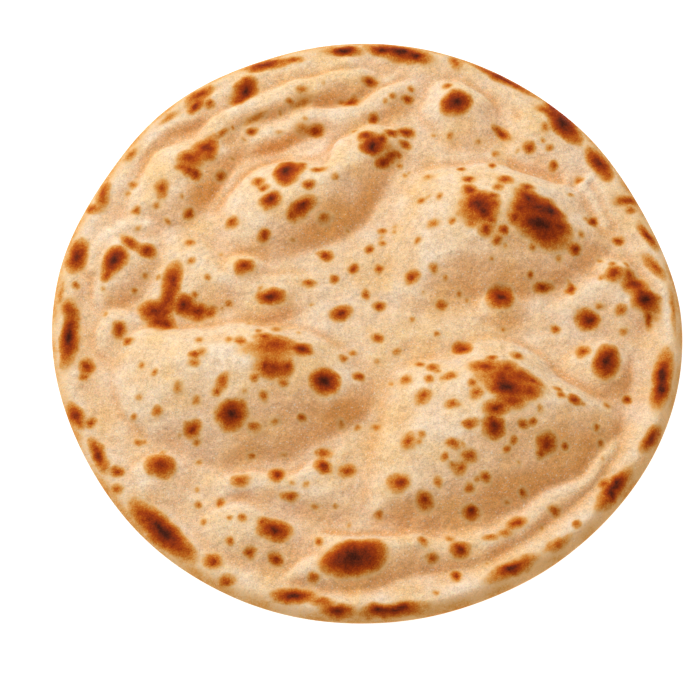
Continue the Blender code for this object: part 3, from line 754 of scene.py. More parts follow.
# Round toasts: middle and radius in millimetres, depth of browning
ROUND_TOASTS = (
    (-76, -58, 1.5, 0.4), (-76.3, -52.3, 1.5, 0.6), (-85, -36, 1.5, 0.5), (-55, 49, 1.8, 0.7),
    (-57, 36, 1.8, 0.6), (-43, 32, 1.8, 0.55), (-25, 76.6, 1, 0.4), (15.7, 83, 0.9, 0.4),
    (9.6, 79.3, 0.9, 0.35), (7.3, 77, 0.7, 0.3), (54.3, 60.4, 1.8, 0.65), (62, 54, 1.3, 0.5),
    (61, 60.3, 1, 0.35), (31.7, 50.8, 1.1, 0.5), (38, 62.5, 0.9, 0.3), (28.5, 64, 1, 0.3),
    (11, 57.3, 1, 0.5), (11.8, 53.5, 1, 0.35), (-9.8, 45.7, 1.1, 0.35), (-34.5, 45.5, 1.8, 0.55),
    (-32, 26, 1.8, 0.7), (-12.5, 21, 1.9, 0.7), (-3.5, 16, 1.4, 0.7), (-9.5, 12.5, 1.3, 0.5),
    (-50, 12, 0.8, 0.3), (1.8, 23, 1.4, 0.55), (4.3, 16, 1.3, 0.5), (6, 29.5, 0.9, 0.4),
    (6, 25, 0.8, 0.3), (17, 24, 1, 0.35), (15, 12, 2, 0.6), (0.5, 7, 1.3, 0.5), (4.5, 3, 1.5, 0.6),
    (24, 3, 1.8, 0.5), (23, -7, 1, 0.35), (10, -13, 1, 0.35), (22, 14, 1.5, 0.35), (-82, 13, 2, 0.6),
    (-69.8, 22, 2.2, 0.75), (-63, -3, 2.5, 0.65), (-57.5, 3, 3, 0.8), (-70, 13.5, 1, 0.3),
    (-74.3, -9.2, 1.4, 0.5), (38, 31, 3, 0.55), (41, 37, 1.5, 0.5), (44, 25, 1.4, 0.65),
    (42, 22, 1.5, 0.5), (47.5, 29.5, 2.4, 0.65), (18.5, 38.6, 1.1, 0.4), (24.5, 39, 1, 0.3),
    (67, 21.8, 2, 0.75), (69.5, 27, 0.9, 0.3), (62.3, 18.3, 1, 0.3), (53, 20.3, 1, 0.4),
    (52.7, 12.6, 1, 0.5), (65.6, 9.2, 1.5, 0.6), (79.3, 17.3, 0.9, 0.4), (81.4, 1.5, 1.8, 0.5),
    (60, -4.5, 1.3, 0.5), (82, -5.3, 1, 0.3), (68.4, -13, 1.8, 0.6), (81.8, -28, 1.1, 0.6),
    (30.5, -12.3, 2.6, 0.7), (17, -18, 1.2, 0.45), (13, -23.5, 1.6, 0.45), (20, -25, 1.2, 0.4),
    (17.5, -31, 2.4, 0.5), (33, -28, 1.2, 0.45), (34, -31.5, 2, 0.45), (39, -42, 3, 0.85),
    (48, -41, 1.4, 0.55), (51, -40, 1.2, 0.5), (60, -30.5, 1.3, 0.45), (75, -31, 0.9, 0.3),
    (60.5, -46, 1, 0.5), (43, -48.5, 1.2, 0.5), (45, -46, 1, 0.5), (22, -58, 1.3, 0.4),
    (36.5, -56.5, 1.4, 0.55), (31.5, -60, 1.2, 0.45), (48, -60, 1.2, 0.5), (18, -63.5, 2.4, 0.7),
    (73, -44, 1.1, 0.4), (71, -39.5, 1, 0.4), (17.5, -75.5, 1.3, 0.4), (27, -85.5, 1.5, 0.7),
    (-31, -22, 0.9, 0.7), (-25, -27, 1.5, 0.4), (-2, -22, 1.6, 0.6), (-38.5, -12.5, 1.5, 0.4),
    (-42, -12, 1.2, 0.3), (-65.5, -21.5, 0.8, 0.35), (-53, -18, 1.2, 0.45), (-51, -17, 2, 0.3),
    (-34, -40, 1.6, 0.5), (-19.5, -37, 1.2, 0.5), (-64, -34, 1.2, 0.4), (-58, -27.5, 2, 0.3),
    (-52, -32, 1.5, 0.3), (-37, -30, 1, 0.2), (-6.5, -16, 1.2, 0.4), (-4, -13, 0.9, 0.4),
    (-7.5, -37.5, 1.2, 0.3), (-70, -29, 1, 0.25), (-70, -42.5, 1, 0.35), (-13, -51, 2.4, 0.75),
    (-27, -54, 2, 0.75), (-44, -62.5, 1, 0.45), (-15, -64, 0.8, 0.3), (-37, -68, 1.2, 0.4),
    (-41, -75, 1, 0.45), (-35, -78.5, 1.7, 0.65), (-51, -63, 0.8, 0.35), (-14, -75, 1, 0.5),
    (-51.5, 76.5, 1.5, 0.5), (-37, 90.5, 2, 0.5), (-75, 46.5, 1.5, 0.35), (-74.5, 37, 1.2, 0.45),
    (-77, 43.5, 0.8, 0.25), (-67.5, 38, 1.2, 0.35), (-64, 33.3, 0.6, 0.3), (-56.3, 25.8, 1.2, 0.35),
    (-55.5, 17.5, 1.3, 0.3), (-92.3, 10.5, 1, 0.4), (-73.3, 8, 0.8, 0.4), (-53.7, 6, 0.8, 0.45),
    (-50.5, 56, 2, 0.5), (-49, 1, 2, 0.5), (-23, 32.5, 2, 0.5), (60, 67.5, 2, 0.35), (80, 50, 1.5, 0.4),
    (86.5, 37.5, 1.5, 0.4), (70.3, 49, 0.9, 0.4), (44, 58.5, 1.2, 0.25), (43, 41, 1.5, 0.35),
    (50, 33, 3, 0.6), (38.5, 31, 3, 0.7), (41.5, 34, 2, 0.5), (34, 28, 1.8, 0.4),
    (40.5, 28.5, 1.5, 0.5), (39, 25.5, 1, 0.6), (28, 29, 1.2, 0.35), (13.5, 50, 1, 0.25),
    (21, 48, 1.5, 0.25), (26, 11, 0.8, 0.35), (30, 7, 0.9, 0.35), (-88, -20.5, 1.5, 0.4),
    (-53, -17.5, 1, 0.6), (-51.8, -11, 1.3, 0.35), (-70, -18.5, 1, 0.3), (-46, -29.5, 1.2, 0.45),
    (-33.5, -8, 0.9, 0.35), (-28, -6, 2, 0.3), (-34, -25.5, 1.5, 0.45), (-31, -31.5, 1.4, 0.4),
    (-51.5, -43, 1, 0.3), (-2.5, -38.5, 0.8, 0.3), (-18, -57, 0.8, 0.3), (-51.5, -58.2, 0.7, 0.3),
    (-72, -35, 0.7, 0.35), (-49.5, -68.5, 0.8, 0.3), (-31, -69, 1.5, 0.5), (22.5, -22, 0.8, 0.3),
    (17, -43.5, 0.8, 0.3), (24, -51.3, 0.9, 0.45), (26, -53.5, 0.8, 0.35), (11, -58, 1.5, 0.7),
    (34, -57.5, 0.8, 0.35), (53.5, -49, 1.2, 0.5), (59, -28, 1, 0.35), (77, -56.5, 1.8, 0.9),
    (75, -60.5, 1.8, 0.9), (73, -57, 2, 0.45), (64, -70, 1, 0.4), (21, -91, 0.8, 0.25),
    (53.5, -36.5, 0.8, 0.3), (36.5, 33, 6, 0.45),
)

# Seeded freckles of the top and spots of the underside: how many, smallest and largest radius, depth
FRECKLES = (90, 0.0004, 0.0010, 0.30)
UNDER_SPOTS = ((26, 0.0030, 0.0075, 0.85), (90, 0.0010, 0.0026, 0.60))
FRECKLE_SEED = 11
UNDER_SPOT_SEED = 14
# Shares of the bread's radius that freckles and spots are scattered over
FRECKLE_REACH = 0.9
UNDER_SPOT_REACH = 0.92
# Least and most of a scattered spot's width to its length, and of its full depth
SPOT_SQUASH = (0.65, 1.0)
SPOT_DEPTH = (0.6, 1.0)


def marked_toasts():
    """The toasts of the top's two tables."""
    ovals = [Toast(*row) for row in OVAL_TOASTS]
    return ovals + [Toast(x, y, radius, radius, 0, depth) for x, y, radius, depth in ROUND_TOASTS]


def random_places(rng, count, reach):
    """Places spread evenly over a disc."""
    angle = rng.uniform(0, 2 * math.pi, count)
    radius = reach * np.sqrt(rng.uniform(0, 1, count))
    return radius * np.cos(angle), radius * np.sin(angle)


def scattered_toasts(seed, count, smallest, largest, depth, reach):
    """Toasts of uneven size and depth, in millimetres, scattered over a disc."""
    rng = np.random.default_rng(seed)
    across, along = random_places(rng, count, reach)
    length = smallest + (largest - smallest) * rng.uniform(0, 1, count) ** 2
    squash = rng.uniform(*SPOT_SQUASH, count)
    turn = rng.uniform(0, 180, count)
    browned = depth * rng.uniform(*SPOT_DEPTH, count)
    rows = zip(across / MM, along / MM, length / MM, length * squash / MM, turn, browned)
    return [Toast(*row) for row in rows]


def browning(inside, size):
    """Share of full browning at a distance inside a toast's outline, or outside it where negative."""
    halo = TOAST_HALO + TOAST_HALO_GROWTH * size
    reach = np.maximum(inside + halo, 0) / TOAST_WIDTH
    core = 1 + TOAST_CORE * np.exp(-(((size - inside) / TOAST_CORE_SIZE) ** 2))
    return core * (1 - np.exp(-(reach**TOAST_STEEPNESS)))


def top_toast(x, y):
    """Depth of browning of the top: its toasts, its freckles and its browned edge."""
    freckles = scattered_toasts(FRECKLE_SEED, *FRECKLES, RADIUS * FRECKLE_REACH)
    toast = toast_field(x, y, marked_toasts() + freckles, TOAST_SEED)
    inset = outline(np.arctan2(y, x)) - np.hypot(x, y)
    edge = EDGE_TOAST * np.exp(-((np.maximum(inset, 0) / EDGE_TOAST_WIDTH) ** 2))
    patches = noise(x, y, EDGE_TOAST_PATCH, EDGE_TOAST_SEED)
    return np.maximum(toast, edge * (1 + EDGE_TOAST_UNEVEN * patches))


def under_toasts():
    """The underside's scattered spots."""
    spots = []
    for index, spot in enumerate(UNDER_SPOTS):
        spots += scattered_toasts(UNDER_SPOT_SEED + index, *spot, RADIUS * UNDER_SPOT_REACH)
    return spots


def toast_field(x, y, toasts, seed):
    """Depth of browning: soft ovals whose edges wander, run together where they meet."""
    for index, (size, distance) in enumerate(TOAST_WANDER):
        shift_x = distance * noise(x, y, size, seed + index)
        shift_y = distance * noise(x, y, size, seed + 5 + index)
        x = x + shift_x
        y = y + shift_y
    total = np.zeros(np.shape(x))
    for toast in toasts:
        turn = math.radians(toast.turn)
        from_x = x - toast.x * MM
        from_y = y - toast.y * MM
        u = (from_x * math.cos(turn) + from_y * math.sin(turn)) / (toast.half_length * MM)
        v = (from_y * math.cos(turn) - from_x * math.sin(turn)) / (toast.half_width * MM)
        size = min(toast.half_length, toast.half_width) * MM
        inside = size * (1 - np.hypot(u, v))
        depth = TOAST_STRENGTH * toast.depth
        if max(toast.half_length, toast.half_width) < SMALL_TOAST:
            depth = depth + SMALL_TOAST_LIFT
        browned = (1 + TOAST_CORE) * depth * browning(inside, size) / browning(size, size)
        total = total + browned**TOAST_MERGE
    return np.minimum(total ** (1 / TOAST_MERGE), 1)


# ---- Finer relief of the top ----


def bubbles(x, y):
    """Small blisters of the skin, scattered over the whole top."""
    rng = np.random.default_rng(BUBBLE_SEED)
    height = np.zeros(np.shape(x))
    for count, smallest, largest, rise in BUBBLES:
        across, along = random_places(rng, count, RADIUS * BUBBLE_REACH)
        radii = rng.uniform(smallest, largest, count)
        rises = rise * rng.uniform(*BUBBLE_RISE, count)
        for middle_x, middle_y, radius, lift in zip(across, along, radii, rises):
            away = np.hypot(x - middle_x, y - middle_y) / radius
            height = np.maximum(height, lift * np.exp(-2 * away * away))
    return height


def skin_height(x, y):
    """Height of the finished top: the solid's relief with the finer unevenness of baked skin."""
    height = top_height(x, y)
    for index, (size, rise) in enumerate(SKIN_LUMPS):
        height = height + rise * noise(x, y, size, SKIN_SEED + index)
    return height + bubbles(x, y)


def blurred(grid, reach, step):
    """The grid with each height replaced by the mean of those within about reach of it."""
    half = max(int(round(reach / step)), 1)
    offsets = np.arange(-half, half + 1)
    weights = np.exp(-2 * (offsets / half) ** 2)
    weights = weights / weights.sum()
    for axis in (0, 1):
        padded = np.pad(grid, [(half, half) if axis == side else (0, 0) for side in (0, 1)], "edge")
        grid = sum(
            weight * np.take(padded, range(index, index + grid.shape[axis]), axis)
            for index, weight in enumerate(weights)
        )
    return grid


def lie_of_dough(x, y):
    """At each point, how deep it lies below its surroundings and how far it faces the shaded side."""
    reach = RADIUS * GRID_REACH
    line = np.arange(-reach, reach, GRID_STEP)
    across, along = np.meshgrid(line, line)
    heights = top_height(across, along)
    hollow = blurred(heights, HOLLOW_REACH, GRID_STEP) - blurred(heights, GRID_BLUR, GRID_STEP)
    slope_y, slope_x = np.gradient(blurred(heights, SLOPE_BLUR, GRID_STEP), GRID_STEP)
    shaded = slope_x * math.sin(SHADED_SIDE) + slope_y * math.cos(SHADED_SIDE)
    column = (x + reach) / GRID_STEP
    row = (y + reach) / GRID_STEP
    found = []
    for grid in (hollow, -shaded):
        left = np.clip(column.astype(int), 0, len(line) - 2)
        low = np.clip(row.astype(int), 0, len(line) - 2)
        part_x = column - left
        part_y = row - low
        below = grid[low, left] * (1 - part_x) + grid[low, left + 1] * part_x
        above = grid[low + 1, left] * (1 - part_x) + grid[low + 1, left + 1] * part_x
        found.append(below * (1 - part_y) + above * part_y)
    return found


# ---- The bread's mesh ----


def deselect_all():
    for item in bpy.context.selected_objects:
        item.select_set(False)


def hexagon_of_triangles(name, cuts):
    """A flat hexagon of six fans, each divided into even triangles by each cut in turn."""
    deselect_all()
    bpy.ops.mesh.primitive_circle_add(vertices=6, radius=1, fill_type="TRIFAN")
    piece = bpy.context.object
    piece.name = name
    bpy.ops.object.mode_set(mode="EDIT")
    bpy.ops.mesh.select_all(action="SELECT")
    for rows in cuts:
        bpy.ops.mesh.subdivide(number_cuts=rows - 1)
    bpy.ops.object.mode_set(mode="OBJECT")
    return piece


def places_of(piece):
    """The piece's points as a row of x, a row of y and a row of z."""
    places = np.empty(len(piece.data.vertices) * 3)
    piece.data.vertices.foreach_get("co", places)
    return places.reshape(-1, 3).T.copy()


def move_points(piece, x, y, z):
    piece.data.vertices.foreach_set("co", np.column_stack([x, y, z]).ravel())
    piece.data.update()


def ring_share(x, y):
    """How far out a point of the unit hexagon lies: 0 at its middle, 1 on its sides."""
    share = 0.0
    for side in range(3):
        turn = math.radians(60 * side)
        share = np.maximum(share, np.abs(x * math.cos(turn) + y * math.sin(turn)))
    return share / math.cos(math.radians(30))


def shape_top(piece):
    """Turns the hexagon into the bread's puffed top, whose edge rolls down to its widest line."""
    x, y, _ = places_of(piece)
    share = ring_share(x, y)
    angle = np.arctan2(y, x)
    level = RADIUS - EDGE_ROUND
    walked = share * (level + EDGE_ROUND * math.pi / 2)
    turned = np.maximum(walked - level, 0) / EDGE_ROUND
    radius = np.minimum(walked, level) + EDGE_ROUND * np.sin(turned)
    radius = radius * outline(angle) / RADIUS
    x = radius * np.cos(angle)
    y = radius * np.sin(angle)
    height = skin_height(x, y) + TOAST_RISE * top_toast(x, y)
    move_points(piece, x, y, EDGE_HEIGHT + (height - EDGE_HEIGHT) * np.cos(turned))


def shape_underside(piece):
    """Turns the hexagon into the underside, lifted a little between the places it rests on."""
    x, y, _ = places_of(piece)
    share = ring_share(x, y)
    angle = np.arctan2(y, x)
    radius = share * (outline(angle) - UNDER_ROUND - UNDER_STRIP)
    x = radius * np.cos(angle)
    y = radius * np.sin(angle)
    lift = 0.0
    for index, (size, rise) in enumerate(UNDER_LUMPS):
        lift = lift + rise * noise(x, y, size, UNDER_SEED + index)
    calm = smooth_step((1 - share) / UNDER_CALM)
    move_points(piece, x, y, np.maximum(lift, 0) * calm)


def turn_edge_under(piece):
    """Carries the top's open edge round and under, in a quarter round, to where the underside begins."""
    deselect_all()
    piece.select_set(True)
    bpy.context.view_layer.objects.active = piece
    for step in range(1, UNDER_STEPS + 1):
        bpy.ops.object.mode_set(mode="EDIT")
        bpy.ops.mesh.select_mode(type="EDGE")
        if step == 1:
            bpy.ops.mesh.select_all(action="DESELECT")
            bpy.ops.mesh.select_non_manifold(
                extend=False,
                use_wire=False,
                use_boundary=True,
                use_multi_face=False,
                use_non_contiguous=False,
                use_verts=False,
            )
        bpy.ops.mesh.extrude_edges_move()
        bpy.ops.object.mode_set(mode="OBJECT")
        chosen = np.empty(len(piece.data.vertices), dtype=bool)
        piece.data.vertices.foreach_get("select", chosen)
        x, y, z = places_of(piece)
        turned = math.pi / 2 * step / UNDER_STEPS
        angle = np.arctan2(y, x)
        radius = outline(angle) - UNDER_ROUND * (1 - math.cos(turned))
        x = np.where(chosen, radius * np.cos(angle), x)
        y = np.where(chosen, radius * np.sin(angle), y)
        z = np.where(chosen, EDGE_HEIGHT * (1 - math.sin(turned)), z)
        move_points(piece, x, y, z)


def join_top_and_underside(top, underside):
    """Makes one closed skin of the two, with the strip between their open edges filled."""
    deselect_all()
    underside.select_set(True)
    top.select_set(True)
    bpy.context.view_layer.objects.active = top
    bpy.ops.object.join()
    bpy.ops.object.mode_set(mode="EDIT")
    bpy.ops.mesh.select_mode(type="EDGE")
    bpy.ops.mesh.select_all(action="DESELECT")
    bpy.ops.mesh.select_non_manifold(
        extend=False,
        use_wire=False,
        use_boundary=True,
        use_multi_face=False,
        use_non_contiguous=False,
        use_verts=False,
    )
    bpy.ops.mesh.fill(use_beauty=True)
    bpy.ops.mesh.select_all(action="SELECT")
    bpy.ops.mesh.normals_make_consistent(inside=False)
    bpy.ops.object.mode_set(mode="OBJECT")
    bpy.ops.object.shade_smooth()


def store_looks(piece):
    """Stores on the points how toasted, how hollow and how shaded the dough is; hollow and shaded are the
    masks of the painted shade of its hollows and far flanks.
    """
    x, y, z = places_of(piece)
    normals = np.empty(len(piece.data.vertices) * 3)
    piece.data.vertices.foreach_get("normal", normals)
    upwards = smooth_step(0.5 + 2 * normals.reshape(-1, 3)[:, 2])
    top = top_toast(x, y)
    under = toast_field(x, y, under_toasts(), UNDER_TOAST_SEED)
    hollow, shaded = lie_of_dough(x, y)
    looks = {
        "toast": top * upwards + under * (1 - upwards),
        "hollow": hollow / HOLLOW_FULL * upwards,
        "shaded": shaded * upwards,
    }
    for name, values in looks.items():
        attribute = piece.data.attributes.new(name, "FLOAT", "POINT")
        attribute.data.foreach_set("value", values.astype(np.float32))


def centre_on_frame(piece):
    """Puts the middle of the bread over the middle of the solid that it stands for."""
    x, y, z = places_of(piece)
    low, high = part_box(NODE)
    shift_x = (low[0] + high[0]) / 2 - (x.min() + x.max()) / 2
    shift_y = (low[1] + high[1]) / 2 - (y.min() + y.max()) / 2
    move_points(piece, x + shift_x, y + shift_y, z)


# ---- Materials ----


def linear(red, green, blue):
    """A colour given as a paint program gives it, 0 to 255, as the shader wants it."""
    values = []
    for share in (red / 255, green / 255, blue / 255):
        values.append(share / 12.92 if share <= 0.04045 else ((share + 0.055) / 1.055) ** 2.4)
    return (*values, 1.0)


def opaque(color):
    """A setting's colour with the full cover that a colour socket asks for."""
    return (*color, 1.0)


def add_node(tree, kind, inputs=None, **settings):
    """Adds a node with its settings, and fills its inputs with numbers, colours or links."""
    made = tree.nodes.new(kind)
    for name, value in settings.items():
        setattr(made, name, value)
    for name, value in (inputs or {}).items():
        if isinstance(value, bpy.types.NodeSocket):
            tree.links.new(value, made.inputs[name])
        else:
            made.inputs[name].default_value = value
    return made


def math_node(tree, operation, first, second=0.0, clamp=False):
    made = add_node(tree, "ShaderNodeMath", {0: first, 1: second}, operation=operation, use_clamp=clamp)
    return made.outputs[0]


def mix_colors(tree, share, first, second, blend="MIX"):
    made = add_node(tree, "ShaderNodeMix", data_type="RGBA", blend_type=blend)
    for index, value in ((0, share), (6, first), (7, second)):
        if isinstance(value, bpy.types.NodeSocket):
            tree.links.new(value, made.inputs[index])
        else:
            made.inputs[index].default_value = value
    return made.outputs[2]


def ramp_node(tree, value, stops):
    """A colour ramp through the stops, each a place and a colour."""
    made = add_node(tree, "ShaderNodeValToRGB", {0: value})
    elements = made.color_ramp.elements
    while len(elements) < len(stops):
        elements.new(0.5)
    for element, (place, color) in zip(elements, stops):
        element.position = place
        element.color = color
    return made.outputs[0]


def range_node(tree, value, low, high, to_low=0.0, to_high=1.0):
    """Stretches a value from one range to another, and holds it there."""
    inputs = {"Value": value, "From Min": low, "From Max": high, "To Min": to_low, "To Max": to_high}
    return add_node(tree, "ShaderNodeMapRange", inputs).outputs[0]


def noise_node(tree, place, scale, detail=2.0, roughness=0.5):
    inputs = {"Vector": place, "Scale": scale, "Detail": detail, "Roughness": roughness}
    return add_node(tree, "ShaderNodeTexNoise", inputs).outputs["Fac"]


def new_group(name, inputs, outputs):
    """A shader node group with its sockets, and its input and output nodes."""
    group = bpy.data.node_groups.new(name, "ShaderNodeTree")
    for socket, kind in inputs:
        group.interface.new_socket(socket, in_out="INPUT", socket_type=kind)
    for socket, kind in outputs:
        group.interface.new_socket(socket, in_out="OUTPUT", socket_type=kind)
    return group, group.nodes.new("NodeGroupInput").outputs, group.nodes.new("NodeGroupOutput").inputs


def dough_grain_group():
    """Fine unevenness of baked dough: grain for colours, pale specks that are partly flour and partly
    painted glints, and the height of its skin.
    """
    inputs = (("Place", "NodeSocketVector"),)
    outputs = [(name, "NodeSocketFloat") for name in ("Grain", "Mottle", "Specks", "Height")]
    group, given, result = new_group("dough grain", inputs, outputs)
    place = given["Place"]
    fine = noise_node(group, place, FINE_SCALE, detail=2.0, roughness=0.6)
    coarse = noise_node(group, place, GRAIN_SCALE, detail=3.0, roughness=0.6)
    mottle = noise_node(group, place, MOTTLE_SCALE, detail=4.0, roughness=0.55)
    speck_field = noise_node(group, place, SPECK_SCALE, detail=1.0, roughness=0.5)
    specks = range_node(group, speck_field, *SPECK_RANGE)
    crumple = noise_node(group, place, CRUMPLE_SCALE, detail=4.0, roughness=0.62)
    pores = add_node(group, "ShaderNodeTexVoronoi", {"Vector": place, "Scale": PORE_SCALE})
    pits = range_node(group, pores.outputs["Distance"], *PIT_RANGE)
    height = math_node(group, "ADD", crumple, math_node(group, "MULTIPLY", fine, FINE_HEIGHT))
    height = math_node(group, "ADD", height, math_node(group, "MULTIPLY", pits, PIT_HEIGHT))
    coarse_share = math_node(group, "MULTIPLY", coarse, GRAIN_SHARE)
    fine_share = math_node(group, "MULTIPLY", fine, FINE_SHARE)
    group.links.new(math_node(group, "ADD", coarse_share, fine_share), result["Grain"])
    group.links.new(mottle, result["Mottle"])
    group.links.new(specks, result["Specks"])
    group.links.new(height, result["Height"])
    return group


def toasting_group():
    """Colour of the crust for a depth of toasting, broken up by the grain."""
    inputs = (("Toast", "NodeSocketFloat"), ("Grain", "NodeSocketFloat"), ("Dough", "NodeSocketColor"))
    outputs = (("Color", "NodeSocketColor"), ("Depth", "NodeSocketFloat"))
    group, given, result = new_group("toasting", inputs, outputs)
    band = range_node(group, given["Toast"], *GRAIN_BAND)
    jitter = math_node(group, "SUBTRACT", given["Grain"], 0.5)
    jitter = math_node(group, "MULTIPLY", jitter, math_node(group, "MULTIPLY", band, TOAST_GRAIN))
    depth = math_node(group, "ADD", given["Toast"], jitter, clamp=True)
    crust = ramp_node(group, depth, [(place, linear(*color)) for place, color in TOAST_COLORS])
    share = range_node(group, depth, *CRUST_BAND)
    color = mix_colors(group, share, given["Dough"], crust)
    group.links.new(color, result["Color"])
    group.links.new(depth, result["Depth"])
    return group


def bread_material(settings):
    material = bpy.data.materials.new("baked dough")
    material.use_nodes = True
    tree = material.node_tree
    shader = tree.nodes["Principled BSDF"]
    place = add_node(tree, "ShaderNodeTexCoord").outputs["Object"]
    looks = {}
    for name in ("toast", "hollow", "shaded"):
        looks[name] = add_node(tree, "ShaderNodeAttribute", attribute_name=name).outputs["Fac"]
    grain = add_node(tree, "ShaderNodeGroup", node_tree=dough_grain_group())
    tree.links.new(place, grain.inputs["Place"])

    mottle = range_node(tree, grain.outputs["Mottle"], *MOTTLE_RANGE)
    dough = mix_colors(tree, mottle, opaque(settings.dough), opaque(settings.dough_warm))
    # painted shade: hollows and creases are darkened to a warm golden colour
    hollow = math_node(tree, "MULTIPLY", range_node(tree, looks["hollow"], *HOLLOW_RANGE), HOLLOW_SHARE)
    dough = mix_colors(tree, hollow, dough, opaque(settings.painted_hollow_shade))
    # painted shade: the flanks that face away from the lamp are darkened to a warm tan
    shaded = math_node(tree, "MULTIPLY", range_node(tree, looks["shaded"], *SHADED_RANGE), SHADED_SHARE)
    dough = mix_colors(tree, shaded, dough, opaque(settings.tan))
    fleck = range_node(tree, grain.outputs["Grain"], *FLECK_RANGE, *FLECK_SHADES)
    dough = mix_colors(tree, 1.0, dough, fleck, "MULTIPLY")
    # pale specks: partly flour, partly painted glints of light
    floured_and_glinting = math_node(tree, "MULTIPLY", grain.outputs["Specks"], FLOUR_AND_GLINT_SHARE)
    dough = mix_colors(tree, floured_and_glinting, dough, opaque(settings.flour_and_glints))

    toasting = add_node(tree, "ShaderNodeGroup", node_tree=toasting_group())
    tree.links.new(looks["toast"], toasting.inputs["Toast"])
    tree.links.new(grain.outputs["Grain"], toasting.inputs["Grain"])
    tree.links.new(dough, toasting.inputs["Dough"])
    tree.links.new(toasting.outputs["Color"], shader.inputs["Base Color"])
    rough = range_node(tree, toasting.outputs["Depth"], 0.0, 1.0, *ROUGHNESS)
    tree.links.new(rough, shader.inputs["Roughness"])
    shader.inputs["Metallic"].default_value = 0.0
    shader.inputs["Specular IOR Level"].default_value = 0.06
    shader.inputs["Subsurface Weight"].default_value = 0.15
    shader.inputs["Subsurface Radius"].default_value = SUBSURFACE_RADIUS
    shader.inputs["Subsurface Scale"].default_value = 0.003
    bump_inputs = {"Height": grain.outputs["Height"], "Strength": 1.0, "Distance": SKIN_BUMP}
    bump = add_node(tree, "ShaderNodeBump", bump_inputs)
    tree.links.new(bump.outputs["Normal"], shader.inputs["Normal"])
    return material


def floor_material(settings):
    material = bpy.data.materials.new("studio floor")
    material.use_nodes = True
    shader = material.node_tree.nodes["Principled BSDF"]
    shader.inputs["Base Color"].default_value = opaque(settings.floor_color)
    shader.inputs["Roughness"].default_value = 0.9
    shader.inputs["Specular IOR Level"].default_value = 0.1
    shader.inputs["Emission Color"].default_value = (1.0, 1.0, 1.0, 1.0)
    shader.inputs["Emission Strength"].default_value = settings.floor_glow
    return material


# ---- Settings ----


def color_property(name, description, red, green, blue):
    return bpy.props.FloatVectorProperty(
        name=name,
        description=description,
        default=linear(red, green, blue)[:3],
        size=3,
        min=0.0,
        max=1.0,
        subtype="COLOR",
    )


class ChapatiDough(bpy.types.PropertyGroup):
    """Colours of the baked dough, with the painted shade of its hollows and of the blisters' far flanks.
    """

    dough: color_property("Dough", "Colour of the untoasted dough", 252, 225, 193)
    dough_warm: color_property("Warm dough", "Colour of the warmer patches of dough", 249, 208, 153)
    # painted shade: the colour laid into hollows and creases for the shade that falls in them
    painted_hollow_shade: color_property("Golden dough", "Colour of the dough in its hollows", 226, 157, 78)
    # painted shade: the colour laid on the flanks that face away from the lamp
    tan: color_property("Tan dough", "Colour of the dough on the far flanks of the blisters", 245, 166, 78)
    # colour of the pale specks, partly flour and partly painted glints
    flour_and_glints: color_property("Flour", "Colour of the flour on the crust", 255, 244, 222)


class ChapatiStage(bpy.types.PropertyGroup):
    """The studio that the bread is shown in."""

    floor_color: color_property("Floor", "Colour of the floor", 190, 190, 190)
    floor_glow: bpy.props.FloatProperty(
        name="Floor glow", description="Light that the floor gives off", default=0.85, min=0.0
    )
    lens: bpy.props.FloatProperty(
        name="Lens", description="Focal length of the camera in millimetres", default=100.0, min=10.0
    )
    elevation: bpy.props.FloatProperty(
        name="Elevation",
        description="Angle of the camera above the floor",
        default=math.radians(67),
        subtype="ANGLE",
    )
    distance: bpy.props.FloatProperty(
        name="Distance",
        description="Distance from the camera to its target",
        default=0.618,
        unit="LENGTH",
    )
    key_power: bpy.props.FloatProperty(
        name="Key light", description="Power of the large lamp", default=17.0, min=0.0, unit="POWER"
    )
    sky: bpy.props.FloatProperty(
        name="Sky", description="Strength of the even light from all round", default=0.48, min=0.0
    )


# ---- Operators ----


class CHAPATI_OT_make_bread(bpy.types.Operator):
    """Models the chapati with its blisters, folds and toasted spots"""

    bl_idname = "chapati.make_bread"
    bl_label = "Make the bread"

    def execute(self, context):
        top = hexagon_of_triangles("chapati_bread", TOP_CUTS)
        shape_top(top)
        turn_edge_under(top)
        underside = hexagon_of_triangles("underside", UNDER_CUTS)
        shape_underside(underside)
        join_top_and_underside(top, underside)
        store_looks(top)
        centre_on_frame(top)
        top.data.materials.clear()
        top.data.materials.append(bread_material(context.scene.chapati_dough))
        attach(top, BODY)
        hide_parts(NODE)
        return {"FINISHED"}


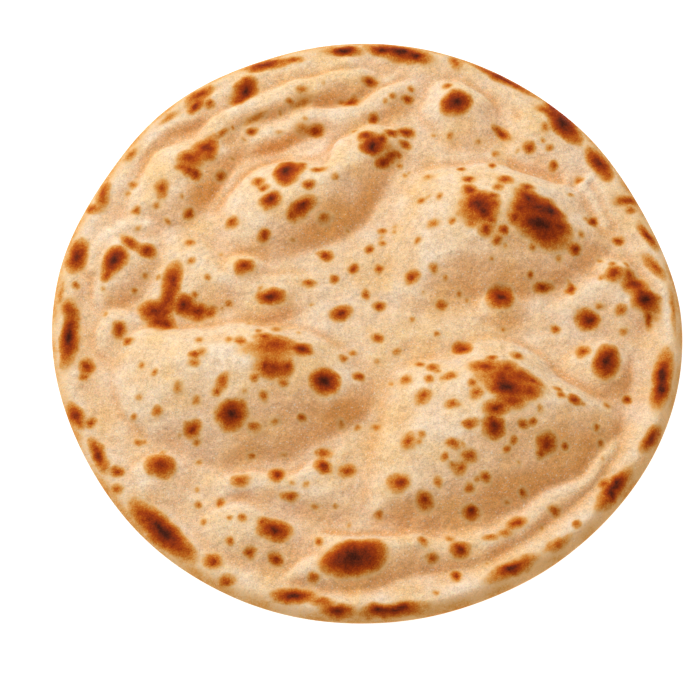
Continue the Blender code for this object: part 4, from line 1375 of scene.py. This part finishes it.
class CHAPATI_OT_set_stage(bpy.types.Operator):
    """Lays the floor, hangs the lights and places the camera"""

    bl_idname = "chapati.set_stage"
    bl_label = "Set the stage"

    def execute(self, context):
        settings = context.scene.chapati_stage
        deselect_all()
        bpy.ops.mesh.primitive_plane_add(size=FLOOR_SIZE, location=(0, 0, FLOOR_DROP))
        floor = context.object
        floor.name = "floor"
        floor.data.materials.append(floor_material(settings))
        bpy.ops.object.transform_apply(location=True, rotation=True, scale=True)

        world = bpy.data.worlds.new("studio")
        world.use_nodes = True
        background = world.node_tree.nodes["Background"]
        background.inputs["Color"].default_value = (1.0, 1.0, 1.0, 1.0)
        background.inputs["Strength"].default_value = settings.sky
        context.scene.world = world

        turn, height = math.radians(KEY_TURN), math.radians(KEY_HEIGHT)
        level = math.cos(height)
        aim = Vector((math.sin(turn) * level, math.cos(turn) * level, math.sin(height)))
        bpy.ops.object.light_add(type="AREA", location=aim * KEY_DISTANCE)
        lamp = context.object
        lamp.name = "key light"
        lamp.rotation_euler = aim.to_track_quat("Z", "Y").to_euler()
        lamp.data.size = KEY_SIZE
        lamp.data.energy = settings.key_power

        target = Vector(CAMERA_TARGET)
        back = Vector((0, -math.cos(settings.elevation), math.sin(settings.elevation)))
        bpy.ops.object.camera_add(
            location=target + back * settings.distance,
            rotation=(math.pi / 2 - settings.elevation, 0, 0),
        )
        camera = context.object
        camera.data.lens = settings.lens
        camera.data.clip_start = 0.01
        context.scene.camera = camera
        context.scene.view_settings.view_transform = "Standard"
        return {"FINISHED"}


class CHAPATI_PT_panel(bpy.types.Panel):
    """Lists the steps that make the bread and its studio"""

    bl_idname = "CHAPATI_PT_panel"
    bl_label = "Chapati"
    bl_space_type = "VIEW_3D"
    bl_region_type = "UI"
    bl_category = "Chapati"

    def draw(self, context):
        for settings, operator in (
            (context.scene.chapati_dough, CHAPATI_OT_make_bread),
            (context.scene.chapati_stage, CHAPATI_OT_set_stage),
        ):
            box = self.layout.box()
            for name in settings.__annotations__:
                box.prop(settings, name)
            box.operator(operator.bl_idname)


CLASSES = (ChapatiDough, ChapatiStage, CHAPATI_OT_make_bread, CHAPATI_OT_set_stage, CHAPATI_PT_panel)


def register():
    for item in CLASSES:
        bpy.utils.register_class(item)
    bpy.types.Scene.chapati_dough = bpy.props.PointerProperty(type=ChapatiDough)
    bpy.types.Scene.chapati_stage = bpy.props.PointerProperty(type=ChapatiStage)


def unregister():
    del bpy.types.Scene.chapati_stage
    del bpy.types.Scene.chapati_dough
    for item in reversed(CLASSES):
        bpy.utils.unregister_class(item)


def main():
    register()
    bpy.ops.chapati.make_bread()
    bpy.ops.chapati.set_stage()


if __name__ == "__main__":
    main()
